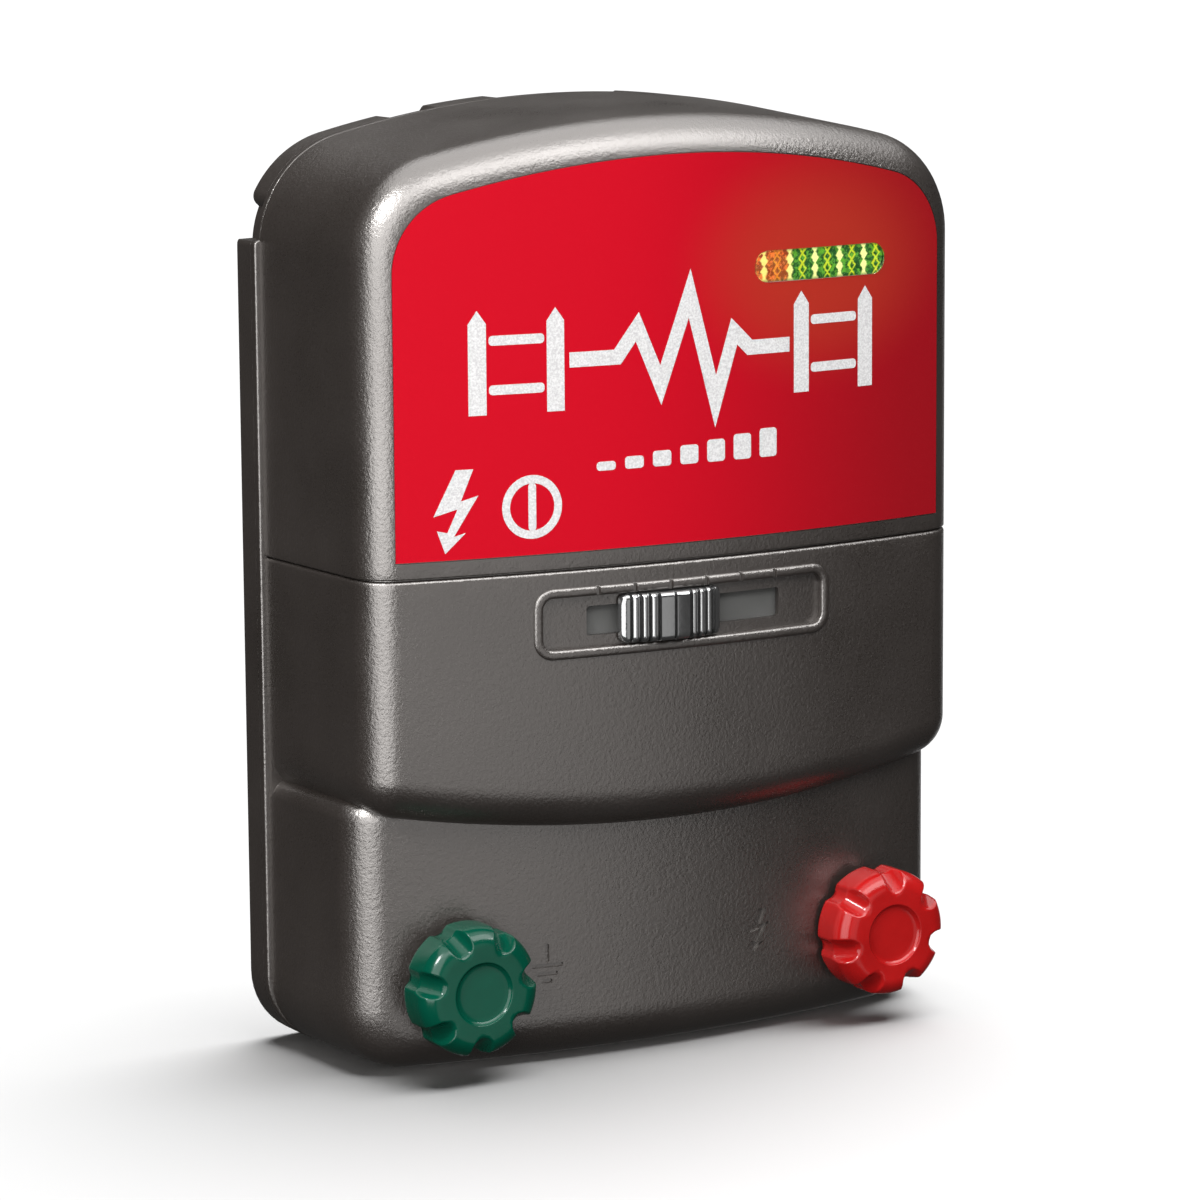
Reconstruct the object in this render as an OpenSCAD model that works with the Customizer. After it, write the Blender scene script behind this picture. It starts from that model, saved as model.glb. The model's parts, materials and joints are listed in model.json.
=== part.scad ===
// Fence energizer, standing upright on its flat underside.
// Millimetres. X runs along the width, +Y towards the wall it hangs on, +Z up.
// Origin: centre of the footprint, on the rest surface.

/* [Case] */
// Width across the front covers where they meet the rear case
case_width = 190; // [186:1:196]
// Height of the case at the middle of its arched top
case_height = 258; // [254:1:262]
// Depth from the wall face to the foremost point of the front covers
cover_depth = 76.8; // [76:0.2:78]
// Depth of the rear case
rear_case_depth = 11.6; // [11:0.2:13]
// How far the middle of the front stands ahead of its edges
front_bow = 10.1; // [9:0.1:11]
// Wall thickness of the covers
wall = 3; // [2.6:0.1:3.2]
// How far the rear case stands proud of the covers at the sides
case_lip = 1.5; // [1:0.1:2]
// Height of the parting line between the two front covers
seam_z = 136.3; // [135.5:0.1:137.5]
// How far the foot is set back from the belly
foot_setback = 8.8; // [8:0.1:9.6]

/* [Selector] */
// Distance along the face between two selector positions
selector_step = 11; // [10:0.2:11]
// Number of selector positions
selector_positions = 6; // [4:1:6]
// Width of the selector knob
selector_width = 31; // [28:0.5:32]

/* [Terminals] */
// Distance of each terminal from the middle
terminal_x = 65; // [62:0.5:66]
// Height of the terminals above the rest surface
terminal_z = 25.2; // [24:0.2:28]
// Largest radius of a terminal knob
knob_r = 17.65; // [17:0.05:18]
// Radius of a terminal stud
stud_r = 4; // [3.5:0.1:4.2]

/* [Light bar] */
// Length of the light bar
bar_length = 44; // [40:1:46]
// Height of the light bar
bar_height = 8.4; // [8:0.2:9]

/* [Hidden] */
$fn = 96;
eps = 0.01;

// Outline of the case seen from the front
front_taper = 2.6;
half_width = case_width / 2;
front_half_width = half_width - front_taper;
arch_r = 300;
arch_z = case_height - arch_r;
corner_r = 31;
edge_r = 12;
hull_fn = 24;

// Planes along the depth
selector_proud = 3.2;
y_rear = (cover_depth + selector_proud) / 2;
y_joint = y_rear - rear_case_depth;
y_front = y_rear - cover_depth;
bow_r = (front_half_width * front_half_width + front_bow * front_bow) / (2 * front_bow);
bow_y = y_front + bow_r;

// Belly: the smile-shaped lower end of the bowed face
belly_z = 75.8;
belly_rise = 7.4;
belly_half_width = front_half_width - edge_r;
belly_side_z = belly_z + belly_rise;

// Foot: the set-back lower section that carries the terminals
foot_half_width = half_width + 0.2;
foot_edge_r = 13;
foot_corner_r = 19;
foot_shoulder_r = 3;
foot_top = 75;
foot_bow = 12.5;
foot_front_half = foot_half_width - front_taper;
foot_bow_r = (foot_front_half * foot_front_half + foot_bow * foot_bow) / (2 * foot_bow);
y_foot = y_front + foot_setback;
foot_bow_y = y_foot + foot_bow_r;

// Rear case
rear_wall = 2.8;
flange_depth = 2.6;
rear_inset = 3;
lip_top = 222;
lip_corner_r = 20;
ear_bottom = 233;
ear_x = [[52, 96], [19, 41]];
seal_inset = 0.7;
seal_width = 1.6;
seal_depth = 1.5;

// Wall fixing
keyhole_x = 40;
keyhole_z = 190;
keyhole_entry_r = 5;
keyhole_slot_r = 2.6;
keyhole_rise = 10;
hood_depth = 7;
hood_wall = 1.6;

// Fastenings
screw_posts = [[78, 228], [85.5, 150], [85.5, 98], [58, 12]];
screw_r = 1.95;
screw_bore_r = 2;
screw_head_r = 3.8;
screw_head_h = 2.4;
post_r = 5;
screw_reach = 14;
board_posts = [[66, 90], [66, 226]];
board_screw_r = 1.45;
board_bore_r = 1.5;
board_head_r = 2.8;
board_head_h = 1.8;

// Label
label_half_width = 84.5;
label_bottom = 141.2;
label_arch_r = 287.2;
label_corner_r = 21;
label_thickness = 0.4;

// Selector
selector_x = -0.8;
selector_z = 122;
recess_length = 87;
recess_height = 14;
recess_corner_r = 3;
recess_depth = 1.5;
ridge_width = 2.6;
ridge_height = 0.8;
tick_width = 0.9;
slot_length = 60;
slot_height = 8;
rest_step = 2;
rest_x = selector_x + (rest_step - (selector_positions - 1) / 2) * selector_step;
selector_height = 13.2;
crown_r = 47.5;
stem_width = 4.4;
stem_height = 7;
strip_gap = 0.3;
strip_near = wall + strip_gap;
strip_thickness = 1.2;
strip_far = strip_near + strip_thickness;
strip_height = 12;
strip_reach = 58.2;
strip_pocket = 88;
rail_width = 1.6;
rail_clearance = 0.5;
contacts_y = -15.5;
contacts_thickness = 1.5;
contacts_posts = [[42, 108], [42, 132.3]];

// Terminals
seat_y = y_foot + 3.2;
seat_r = 12;
inner_boss_y = y_foot + 13;
flange_r = 9.5;
flange_thickness = 1.6;
washer_gap = 0.3;
washer_r = 10.5;
washer_thickness = 1.6;
running_gap = 0.08;
knob_base_y = seat_y - 0.6;
knob_length = 12.8;
knob_edge_r = 5;
knob_recess_r = 12;
insert_r = 7;
washer_y = seat_y - flange_thickness - washer_gap;
insert_base_y = washer_y - washer_thickness;
insert_length = 7.4;
stud_end_y = insert_base_y - insert_length + 1;
stud_length = 40;
flute_count = 7;
flute_r = 3.2;
flute_centre_r = knob_r + 1.7;
flute_nose_r = knob_r - 2.5;
knob_dish_r = 7.8;
knob_dish_depth = 1;
ground_flute_angle = 12;
fence_flute_angle = 37;

// Light bar
bar_x = 42.8;
bar_z = 213.7;
lens_proud = 0.3;
lens_depth = 2.8;
led_count = 10;
led_size = 2.8;
bar_board_y = -27;
bar_board_thickness = 1.5;
bar_board_size = [52, 20];
bar_post_x = 18;
bar_post_z = 206;

// Circuit board and what it carries
board_y = 22.4;
board_thickness = 1.6;
board_x = 72;
board_z = [84, 232];
capacitor_r = 14;
capacitor_length = 36;
capacitor_x = [-45, -12, 21];
capacitor_z = 165;
sink_x = 46;
sink_z = 125;
sink_size = [36, 3, 30];
fin_count = 6;
fin_depth = 16;
fin_thickness = 1.4;
fuse_x = -34;
fuse_z = 100;
fuse_r = 3;
fuse_length = 20;

// Output transformer
core_size = [60, 24, 50];
core_z = 42;
core_y = 14;
core_post_x = 25;
leg = 10;
bobbin_wall = 1.2;
winding_build = 7;

// Power inlet
inlet_x = 42;
inlet_y = 8;
inlet_r = 6;
inlet_flange_r = 8;
inlet_length = 16;
inlet_bore_r = 3.2;

function bow_at(x, depth = 0) = bow_y - sqrt((bow_r - depth) * (bow_r - depth) - x * x);
function foot_at(x, depth = 0) = foot_bow_y - sqrt((foot_bow_r - depth) * (foot_bow_r - depth) - x * x);
function corner_cx(half_w, r_corner) = half_w - r_corner;
function corner_cz(half_w, r_arch, r_corner) =
    arch_z + sqrt(pow(r_arch - r_corner, 2) - pow(corner_cx(half_w, r_corner), 2));

// Centres, inset by r, around the arched top of an outline
function arch_path(half_w, r_arch, r_corner, r) = let (
    cx = corner_cx(half_w, r_corner),
    cz = corner_cz(half_w, r_arch, r_corner),
    lean = asin(cx / (r_arch - r_corner)),
    count = 10) [
    for (s = [-1, 1], a = [0 : 15 : 90 - lean])
        [s * (cx + (r_corner - r) * cos(a)), cz + (r_corner - r) * sin(a)],
    for (i = [0 : count]) let (a = -lean + 2 * lean * i / count)
        [(r_arch - r) * sin(a), arch_z + (r_arch - r) * cos(a)]];

belly_path = [for (i = [-5 : 5]) let (x = belly_half_width * i / 5)
    [x, belly_z + belly_rise * i * i / 25]];

// 2D, x and z: arched outline with a straight bottom
module arch_outline(half_w, r_arch, r_corner, z_bottom) {
    cx = corner_cx(half_w, r_corner);
    cz = corner_cz(half_w, r_arch, r_corner);
    tangent_x = cx * r_arch / (r_arch - r_corner);
    intersection() {
        translate([0, arch_z]) circle(r = r_arch, $fn = 360);
        union() {
            translate([-half_w, z_bottom]) square([2 * half_w, cz - z_bottom]);
            translate([-tangent_x, z_bottom]) square([2 * tangent_x, case_height + 1 - z_bottom]);
            for (s = [-1, 1]) translate([s * cx, cz]) circle(r = r_corner);
        }
    }
}

// 2D: rectangle centred on the origin with rounded corners
module rounded_rect(length, height, r) {
    square([length - 2 * r, height], center = true);
    square([length, height - 2 * r], center = true);
    for (x = [-1, 1], z = [-1, 1])
        translate([x * (length / 2 - r), z * (height / 2 - r)]) circle(r = r);
}

// 2D: upright outline with a flat top and two rounded bottom corners
module round_bottom(half_w, z_bottom, z_top, r) {
    translate([-half_w, z_bottom + r]) square([2 * half_w, z_top - z_bottom - r]);
    translate([-half_w + r, z_bottom]) square([2 * (half_w - r), r + eps]);
    for (s = [-1, 1]) translate([s * (half_w - r), z_bottom + r]) circle(r = r);
}

// Extrudes a 2D outline of x and z along the depth, from y_from back to y_to
module slab(y_from, y_to) {
    translate([0, y_to, 0]) rotate([90, 0, 0]) linear_extrude(y_to - y_from) children();
}

// Cylinder along the depth
module y_rod(x, z, r, y_from, y_to) {
    translate([x, y_to, z]) rotate([90, 0, 0]) cylinder(r = r, h = y_to - y_from);
}

// Keeps the part of a front outline that lies between two depths behind the bowed face
module bow_layer(near, far) {
    intersection() {
        slab(y_front - 8, y_front + 40) children();
        translate([0, bow_y, 0]) difference() {
            cylinder(r = bow_r - near, h = case_height, $fn = 720);
            translate([0, 0, -1]) cylinder(r = bow_r - far, h = case_height + 2, $fn = 720);
        }
    }
}

// Turns its children about the axis of the bowed face until they face x
module on_bow(x) {
    translate([0, bow_y, 0]) rotate([0, 0, asin(x / bow_r)]) translate([0, -bow_y, 0]) children();
}

// ---- outer skins of the front covers ----
module body_skin() {
    front = concat(arch_path(front_half_width, arch_r - front_taper, corner_r - front_taper, edge_r),
        belly_path);
    hull() {
        for (p = front)
            translate([p[0], bow_at(p[0], edge_r), p[1]]) sphere(r = edge_r, $fn = hull_fn);
        slab(y_joint - 0.5, y_joint) {
            polygon(arch_path(half_width, arch_r, corner_r, 0));
            polygon([for (s = [-1, 1], a = [0 : 22.5 : 90])
                [s * (half_width - edge_r * (1 - cos(a))), belly_side_z - edge_r * sin(a)]]);
        }
    }
}

module foot_skin() {
    low_x = foot_front_half - foot_corner_r;
    low_r = foot_corner_r - foot_edge_r;
    ring_x = foot_front_half - foot_edge_r;
    ring_z = foot_top - foot_shoulder_r;
    hull() {
        for (i = [-3 : 3]) let (x = low_x * i / 3)
            translate([x, foot_at(x, foot_edge_r), foot_edge_r]) sphere(r = foot_edge_r, $fn = hull_fn);
        for (s = [-1, 1], a = [0, 45]) let (x = low_x + low_r * cos(a))
            translate([s * x, foot_at(x, foot_edge_r), foot_corner_r - low_r * sin(a)])
                sphere(r = foot_edge_r, $fn = hull_fn);
        for (i = [-3 : 3]) let (x = ring_x * i / 3)
            translate([x, foot_at(x, foot_edge_r), ring_z]) {
                cylinder(r = foot_edge_r, h = eps, $fn = hull_fn);
                cylinder(r = foot_edge_r - foot_shoulder_r, h = foot_shoulder_r, $fn = hull_fn);
            }
        slab(y_joint - 0.5, y_joint) polygon([for (s = [-1, 1]) each concat(
            [for (a = [0 : 15 : 90])
                [s * (foot_half_width - foot_corner_r * (1 - cos(a))), foot_corner_r * (1 - sin(a))]],
            [[s * foot_half_width, ring_z], [s * (foot_half_width - foot_shoulder_r), foot_top]])]);
    }
}

module above_seam() translate([-150, -60, seam_z]) cube([300, 120, 160]);
module below_seam() translate([-150, -60, 60]) cube([300, 120, seam_z - 60]);

// ---- hollow of the body, wide behind and narrower ahead so that the edges keep their wall ----
module body_hollow(z_bottom) {
    deep_y = bow_at(front_half_width - edge_r, edge_r);
    slab(deep_y, y_joint + 1) arch_outline(front_half_width - wall, arch_r - front_taper - wall,
        corner_r - front_taper - wall, z_bottom);
    intersection() {
        slab(y_front - 1, deep_y + 1) arch_outline(front_half_width - edge_r,
            arch_r - front_taper - edge_r, corner_r - front_taper - edge_r, z_bottom);
        translate([0, bow_y, 0]) cylinder(r = bow_r - wall, h = case_height, $fn = 720);
    }
}

module foot_hollow() {
    deep_y = foot_at(foot_front_half - foot_edge_r, foot_edge_r);
    slab(deep_y, y_joint + 1)
        round_bottom(foot_front_half - wall, wall, belly_side_z + 2, foot_corner_r - wall);
    intersection() {
        slab(y_foot - 1, deep_y + 1) round_bottom(foot_front_half - foot_edge_r, foot_edge_r,
            belly_z + 2, foot_corner_r - foot_edge_r);
        translate([0, foot_bow_y, 0]) cylinder(r = foot_bow_r - wall, h = case_height, $fn = 720);
    }
}

// ---- selector details on the lower cover ----
module selector_outline(grow) {
    translate([selector_x, selector_z])
        rounded_rect(recess_length + 2 * grow, recess_height + 2 * grow, recess_corner_r + grow);
}

module selector_ridge() {
    bow_layer(-ridge_height, recess_depth) difference() {
        selector_outline(ridge_width);
        selector_outline(0);
        for (i = [0 : selector_positions - 1])
            translate([selector_x + (i - (selector_positions - 1) / 2) * selector_step - tick_width / 2,
                selector_z + recess_height / 2 + ridge_width / 2]) square([tick_width, ridge_width]);
    }
}

module selector_rails() {
    rail_z = strip_height / 2 + rail_clearance;
    bow_layer(wall - 0.2, strip_far + 1) difference() {
        for (s = [-1, 1])
            translate([0, selector_z + s * (rail_z + rail_width / 2)])
                square([2 * (belly_half_width - 2), rail_width], center = true);
    }
}

module screw_hollow(x, z) {
    y_rod(x, z, screw_bore_r, y_joint - screw_reach - 2, y_joint + 1);
}

// ---- nodes: case ----
module keyhole_hood(x, inset) {
    width = 2 * keyhole_entry_r + 8 - 2 * inset;
    height = 28 - 2 * inset;
    depth = hood_depth - inset;
    translate([x - width / 2, y_rear - rear_wall - depth, keyhole_z - 9 + inset])
        cube([width, depth + eps, height]);
}

module rear_shell() {
    difference() {
        union() {
            slab(y_joint, y_joint + flange_depth) arch_outline(half_width, arch_r, corner_r, lip_top - 20);
            slab(y_joint, y_rear) arch_outline(half_width - rear_inset, arch_r - rear_inset,
                corner_r - rear_inset, lip_top - 20);
            slab(y_joint, y_rear) round_bottom(half_width + case_lip, 0, lip_top, lip_corner_r);
            slab(y_joint, y_rear) intersection() {
                arch_outline(half_width, arch_r, corner_r, ear_bottom);
                for (s = [-1, 1], ear = ear_x)
                    translate([s * (ear[0] + ear[1]) / 2, (ear_bottom + case_height) / 2])
                        square([ear[1] - ear[0], case_height - ear_bottom], center = true);
            }
        }
        slab(y_joint - 1, y_rear - rear_wall) arch_outline(half_width - 6, arch_r - 6, corner_r - 6, 60);
        slab(y_joint - 1, y_rear - rear_wall)
            round_bottom(half_width - 5, 4.5, 150, foot_corner_r - 4);
    }
}

module rear_case() {
    color("DimGray") difference() {
        union() {
            rear_shell();
            for (s = [-1, 1]) {
                for (p = screw_posts) y_rod(s * p[0], p[1], post_r, y_joint, y_rear - 1);
                for (p = board_posts)
                    y_rod(s * p[0], p[1], post_r - 1, board_y + board_thickness, y_rear - 1);
                y_rod(s * core_post_x, core_z, post_r, core_y + core_size[1] / 2, y_rear - 1);
                keyhole_hood(s * keyhole_x, 0);
            }
        }
        slab(y_joint - 1, y_joint + seal_depth) seal_outline();
        for (s = [-1, 1]) {
            for (p = screw_posts) {
                y_rod(s * p[0], p[1], screw_bore_r + 0.3, y_joint - 1, y_rear + 1);
                y_rod(s * p[0], p[1], screw_head_r + 0.3, y_rear - screw_head_h - 1, y_rear + 1);
            }
            for (p = board_posts) y_rod(s * p[0], p[1], board_bore_r, board_y, y_rear - rear_wall - 1);
            // keyhole: entry, slot above it and the hollow under its hood
            y_rod(s * keyhole_x, keyhole_z, keyhole_entry_r, y_rear - rear_wall - 1, y_rear + 1);
            y_rod(s * keyhole_x, keyhole_z + keyhole_rise, keyhole_slot_r,
                  y_rear - rear_wall - 1, y_rear + 1);
            translate([s * keyhole_x - keyhole_slot_r, y_rear - rear_wall - 1, keyhole_z])
                cube([2 * keyhole_slot_r, rear_wall + 2, keyhole_rise]);
            keyhole_hood(s * keyhole_x, hood_wall);
        }
    }
}

// 2D ring that follows the joint between the rear case and the covers
module seal_outline() {
    outer = seal_inset;
    inner = seal_inset + seal_width;
    difference() {
        union() {
            arch_outline(half_width - outer, arch_r - outer, corner_r - outer, 60);
            round_bottom(half_width - outer, outer, 100, foot_corner_r - outer);
        }
        union() {
            arch_outline(half_width - inner, arch_r - inner, corner_r - inner, 60);
            round_bottom(half_width - inner, inner, 100, foot_corner_r - inner);
        }
    }
}

module case_seal() {
    color("Black") slab(y_joint, y_joint + seal_depth) seal_outline();
}

module label_outline() {
    arch_outline(label_half_width, label_arch_r, label_corner_r, label_bottom);
}

module bar_outline(grow) {
    translate([bar_x, bar_z])
        rounded_rect(bar_length + 2 * grow, bar_height + 2 * grow, bar_height / 2 + grow - eps);
}

module upper_front_cover() {
    color("DimGray") difference() {
        union() {
            difference() {
                intersection() {
                    body_skin();
                    above_seam();
                }
                body_hollow(seam_z - 1);
            }
            for (s = [-1, 1], p = [screw_posts[0], screw_posts[1]])
                y_rod(s * p[0], p[1], post_r, bow_at(front_half_width - edge_r, edge_r) - 4, y_joint);
            for (s = [-1, 1])
                y_rod(bar_x + s * bar_post_x, bar_post_z, 2.2, bow_at(bar_x + s * bar_post_x, wall) - 0.5,
                    bar_board_y);
        }
        bow_layer(-4, label_thickness) label_outline();
        bow_layer(-4, wall + 4) bar_outline(0);
        for (s = [-1, 1], p = [screw_posts[0], screw_posts[1]]) screw_hollow(s * p[0], p[1]);
    }
}

module lower_front_cover() {
    color("DimGray") difference() {
        union() {
            difference() {
                union() {
                    intersection() {
                        body_skin();
                        below_seam();
                    }
                    foot_skin();
                }
                intersection() {
                    body_hollow(belly_side_z);
                    below_seam_hollow();
                }
                foot_hollow();
                belly_hollow();
                // pocket for the ends of the dust strip
                bow_layer(wall, strip_far + 0.5)
                    translate([0, selector_z]) square([2 * strip_pocket, strip_height + 1.4], center = true);
                bow_layer(-4, recess_depth) selector_outline(0);
            }
            selector_ridge();
            selector_rails();
            for (s = [-1, 1], p = [screw_posts[2]])
                y_rod(s * p[0], p[1], post_r, bow_at(front_half_width - edge_r, edge_r) - 4, y_joint);
            for (s = [-1, 1]) y_rod(s * screw_posts[3][0], screw_posts[3][1], post_r, y_foot + 18, y_joint);
            for (s = [-1, 1], p = contacts_posts)
                y_rod(s * p[0], p[1], 3, bow_at(p[0], wall) - 0.5, contacts_y);
            for (s = [-1, 1]) y_rod(s * terminal_x, terminal_z, seat_r, seat_y, inner_boss_y);
            translate([inlet_x, inlet_y, wall - eps]) cylinder(r = inlet_flange_r + 3, h = 3);
        }
        for (s = [-1, 1]) y_rod(s * terminal_x, terminal_z, stud_r + 0.1, seat_y - 1, inner_boss_y + 1);
        for (s = [-1, 1], p = [screw_posts[2], screw_posts[3]]) screw_hollow(s * p[0], p[1]);
        bow_layer(0, wall + 1) translate([selector_x, selector_z]) rounded_rect(slot_length, slot_height, 1);
        translate([inlet_x, inlet_y, -1]) cylinder(r = inlet_r + 0.1, h = 10);
        translate([inlet_x, inlet_y, -1]) cylinder(r = inlet_flange_r + 0.2, h = 3);
    }
}

module below_seam_hollow() translate([-150, -60, 60]) cube([300, 120, seam_z]);

// Front part of the hollow behind the belly, below the wide hollow
module belly_hollow() {
    intersection() {
        slab(y_front - 1, y_joint) translate([-belly_half_width, belly_z])
            square([2 * belly_half_width, 20]);
        translate([0, bow_y, 0]) cylinder(r = bow_r - wall, h = case_height, $fn = 720);
    }
}

module front_label() {
    color("Crimson") bow_layer(0, label_thickness) difference() {
        label_outline();
        bar_outline(0);
    }
}

// ---- nodes: light bar ----
module light_bar_lens() {
    color("Gainsboro", 0.6) bow_layer(-lens_proud, lens_depth) bar_outline(0);
}

module light_bar_leds() {
    pitch = (bar_length - bar_height) / (led_count - 1);
    color("YellowGreen") for (i = [0 : led_count - 1])
        translate([bar_x + (i - (led_count - 1) / 2) * pitch - led_size / 2, bar_board_y - 1.4,
            bar_z - led_size / 2]) cube([led_size, 1.4, led_size]);
}

module light_bar_board() {
    color("DarkGreen") translate([bar_x - bar_board_size[0] / 2, bar_board_y, bar_z - bar_board_size[1] / 2])
        cube([bar_board_size[0], bar_board_thickness, bar_board_size[1]]);
}

// ---- nodes: selector ----
module selector_knob() {
    rib_zone = 8.2;
    rib_pitch = rib_zone / 4;
    cap = 2.6;
    groove = 0.75;
    crown_y = y_front - selector_proud;
    color("DimGray") on_bow(rest_x) difference() {
        union() {
            intersection() {
                slab(y_front - 6, y_front + 1.2) translate([0, selector_z])
                    rounded_rect(selector_width, selector_height, 2);
                translate([0, crown_y + crown_r, 0]) cylinder(r = crown_r, h = case_height, $fn = 360);
            }
            bow_layer(0.5, strip_near) translate([0, selector_z])
                square([stem_width, stem_height], center = true);
        }
        for (s = [-1, 1], i = [0 : 4])
            translate([s * (selector_width / 2 - cap - i * rib_pitch), crown_y, selector_z])
                cube([groove, 4, selector_height + 2], center = true);
        translate([0, crown_y, selector_z]) cube([0.8, 1.6, selector_height + 2], center = true);
    }
}

module selector_strip() {
    color("SlateGray") on_bow(rest_x) {
        bow_layer(strip_near, strip_far) translate([0, selector_z])
            square([2 * strip_reach, strip_height], center = true);
        bow_layer(strip_far - eps, strip_far + 6) translate([0, selector_z])
            square([12, 9], center = true);
    }
}

module selector_wiper() {
    far = strip_far + 6;
    color("Gold") on_bow(rest_x) {
        bow_layer(far, far + 0.5) translate([0, selector_z]) square([14, 7], center = true);
        for (s = [-1, 1])
            bow_layer(far + 0.5 - eps, far + 2) translate([s * 5, selector_z])
                square([2.4, 3], center = true);
    }
}

module selector_contacts() {
    color("DarkGreen") difference() {
        translate([-47, contacts_y, 104]) cube([94, contacts_thickness, 31]);
        for (s = [-1, 1], p = contacts_posts)
            y_rod(s * p[0], p[1], 1.2, contacts_y - 1, contacts_y + contacts_thickness + 1);
    }
    color("Gold") for (i = [0 : selector_positions - 1])
        translate([selector_x + (i - (selector_positions - 1) / 2) * selector_step - 3, contacts_y - 0.1,
            selector_z - 4]) cube([6, 0.2, 8]);
}

// ---- nodes: terminals, drawn for the terminal at x ----
module knob_body(flute_angle) {
    difference() {
        rotate_extrude() {
            square([knob_r - knob_edge_r, knob_length]);
            square([knob_r, knob_length - knob_edge_r]);
            translate([knob_r - knob_edge_r, knob_length - knob_edge_r]) circle(r = knob_edge_r);
        }
        translate([0, 0, -1]) cylinder(r = knob_recess_r, h = 1 + knob_base_y - insert_base_y);
        cylinder(r = insert_r, h = knob_base_y - insert_base_y + insert_length);
        translate([0, 0, knob_length - knob_dish_depth]) cylinder(r = knob_dish_r, h = 2);
        for (i = [0 : flute_count - 1]) rotate([0, 0, flute_angle + i * 360 / flute_count]) flute();
    }
}

module flute() {
    turn_z = knob_length - knob_edge_r - 1;
    nose_z = knob_length + 0.4;
    run = flute_centre_r - flute_nose_r;
    rise = nose_z - turn_z;
    translate([flute_centre_r, 0, -1]) cylinder(r = flute_r, h = turn_z + 1);
    translate([flute_centre_r, 0, turn_z]) {
        sphere(r = flute_r);
        rotate([0, -atan2(run, rise), 0]) cylinder(r = flute_r, h = sqrt(run * run + rise * rise));
    }
    translate([flute_nose_r, 0, nose_z]) sphere(r = flute_r);
}

module at_terminal(x, y) {
    translate([x, y, terminal_z]) rotate([90, 0, 0]) children();
}

module terminal_insert(x) {
    color("Goldenrod") at_terminal(x, insert_base_y) difference() {
        cylinder(r = insert_r, h = insert_length);
        translate([0, 0, -1]) cylinder(r = stud_r + running_gap, h = insert_length + 2);
    }
}

module terminal_washer(x) {
    color("Silver") at_terminal(x, washer_y) difference() {
        cylinder(r = washer_r, h = washer_thickness);
        translate([0, 0, -1]) cylinder(r = stud_r + running_gap, h = washer_thickness + 2);
    }
}

module terminal_stud(x) {
    color("Silver") {
        y_rod(x, terminal_z, stud_r, stud_end_y, stud_end_y + stud_length);
        y_rod(x, terminal_z, flange_r, seat_y - flange_thickness, seat_y);
    }
}

module ground_knob() {
    color("ForestGreen") at_terminal(-terminal_x, knob_base_y) knob_body(ground_flute_angle);
}
module fence_knob() {
    color("Red") at_terminal(terminal_x, knob_base_y) knob_body(fence_flute_angle);
}
module ground_insert() terminal_insert(-terminal_x);
module fence_insert() terminal_insert(terminal_x);
module ground_washer() terminal_washer(-terminal_x);
module fence_washer() terminal_washer(terminal_x);
module ground_stud() terminal_stud(-terminal_x);
module fence_stud() terminal_stud(terminal_x);

lug_thickness = 1;
nut_height = 5;

module ring_lugs() {
    color("Silver") for (s = [-1, 1]) difference() {
        union() {
            y_rod(s * terminal_x, terminal_z, 7, inner_boss_y, inner_boss_y + lug_thickness);
            translate([s * terminal_x - 2.5, inner_boss_y, terminal_z]) cube([5, lug_thickness, 14]);
            translate([s * terminal_x, inner_boss_y + 2.4, terminal_z + 9]) cylinder(r = 2.4, h = 8);
        }
        y_rod(s * terminal_x, terminal_z, stud_r + 0.1, inner_boss_y - 1, inner_boss_y + 3);
        translate([s * terminal_x, inner_boss_y + 2.4, terminal_z + 8]) cylinder(r = 1.4, h = 10);
    }
}

module stud_nuts() {
    color("Silver") for (s = [-1, 1])
        translate([s * terminal_x, inner_boss_y + lug_thickness + nut_height, terminal_z]) rotate([90, 0, 0])
            difference() {
                cylinder(r = 7.5, h = nut_height, $fn = 6);
                translate([0, 0, -1]) cylinder(r = stud_r + 0.02, h = nut_height + 2);
            }
}

module output_leads() {
    lead_r = 1.38;
    lead_y = inner_boss_y + 2.4;
    low = terminal_z + 10;
    high = 50;
    inner_x = 14;
    winding_y = core_y - core_size[1] / 2 - bobbin_wall - winding_build;
    color("Firebrick") for (s = [-1, 1]) {
        translate([s * terminal_x, lead_y, low]) cylinder(r = lead_r, h = high - low);
        for (x = [terminal_x, inner_x]) translate([s * x, lead_y, high]) sphere(r = lead_r);
        translate([s * terminal_x, lead_y, high]) rotate([0, -s * 90, 0])
            cylinder(r = lead_r, h = terminal_x - inner_x);
        y_rod(s * inner_x, high, lead_r, lead_y, winding_y);
    }
}

// ---- nodes: electronics ----
module circuit_board() {
    color("DarkGreen") difference() {
        translate([-board_x, board_y, board_z[0]])
            cube([2 * board_x, board_thickness, board_z[1] - board_z[0]]);
        for (s = [-1, 1], p = board_posts)
            y_rod(s * p[0], p[1], board_bore_r + 0.1, board_y - 1, board_y + 3);
    }
}

module board_screws() {
    color("Silver") for (s = [-1, 1], p = board_posts) {
        y_rod(s * p[0], p[1], board_screw_r, board_y, board_y + 9);
        y_rod(s * p[0], p[1], board_head_r, board_y - board_head_h, board_y);
    }
}

module storage_capacitors() {
    color("MidnightBlue") for (x = capacitor_x) difference() {
        y_rod(x, capacitor_z, capacitor_r, board_y - capacitor_length, board_y);
        translate([x, board_y - 4, capacitor_z]) rotate([90, 0, 0]) rotate_extrude()
            translate([capacitor_r + 0.4, 0]) circle(r = 1.2);
    }
}

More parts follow.
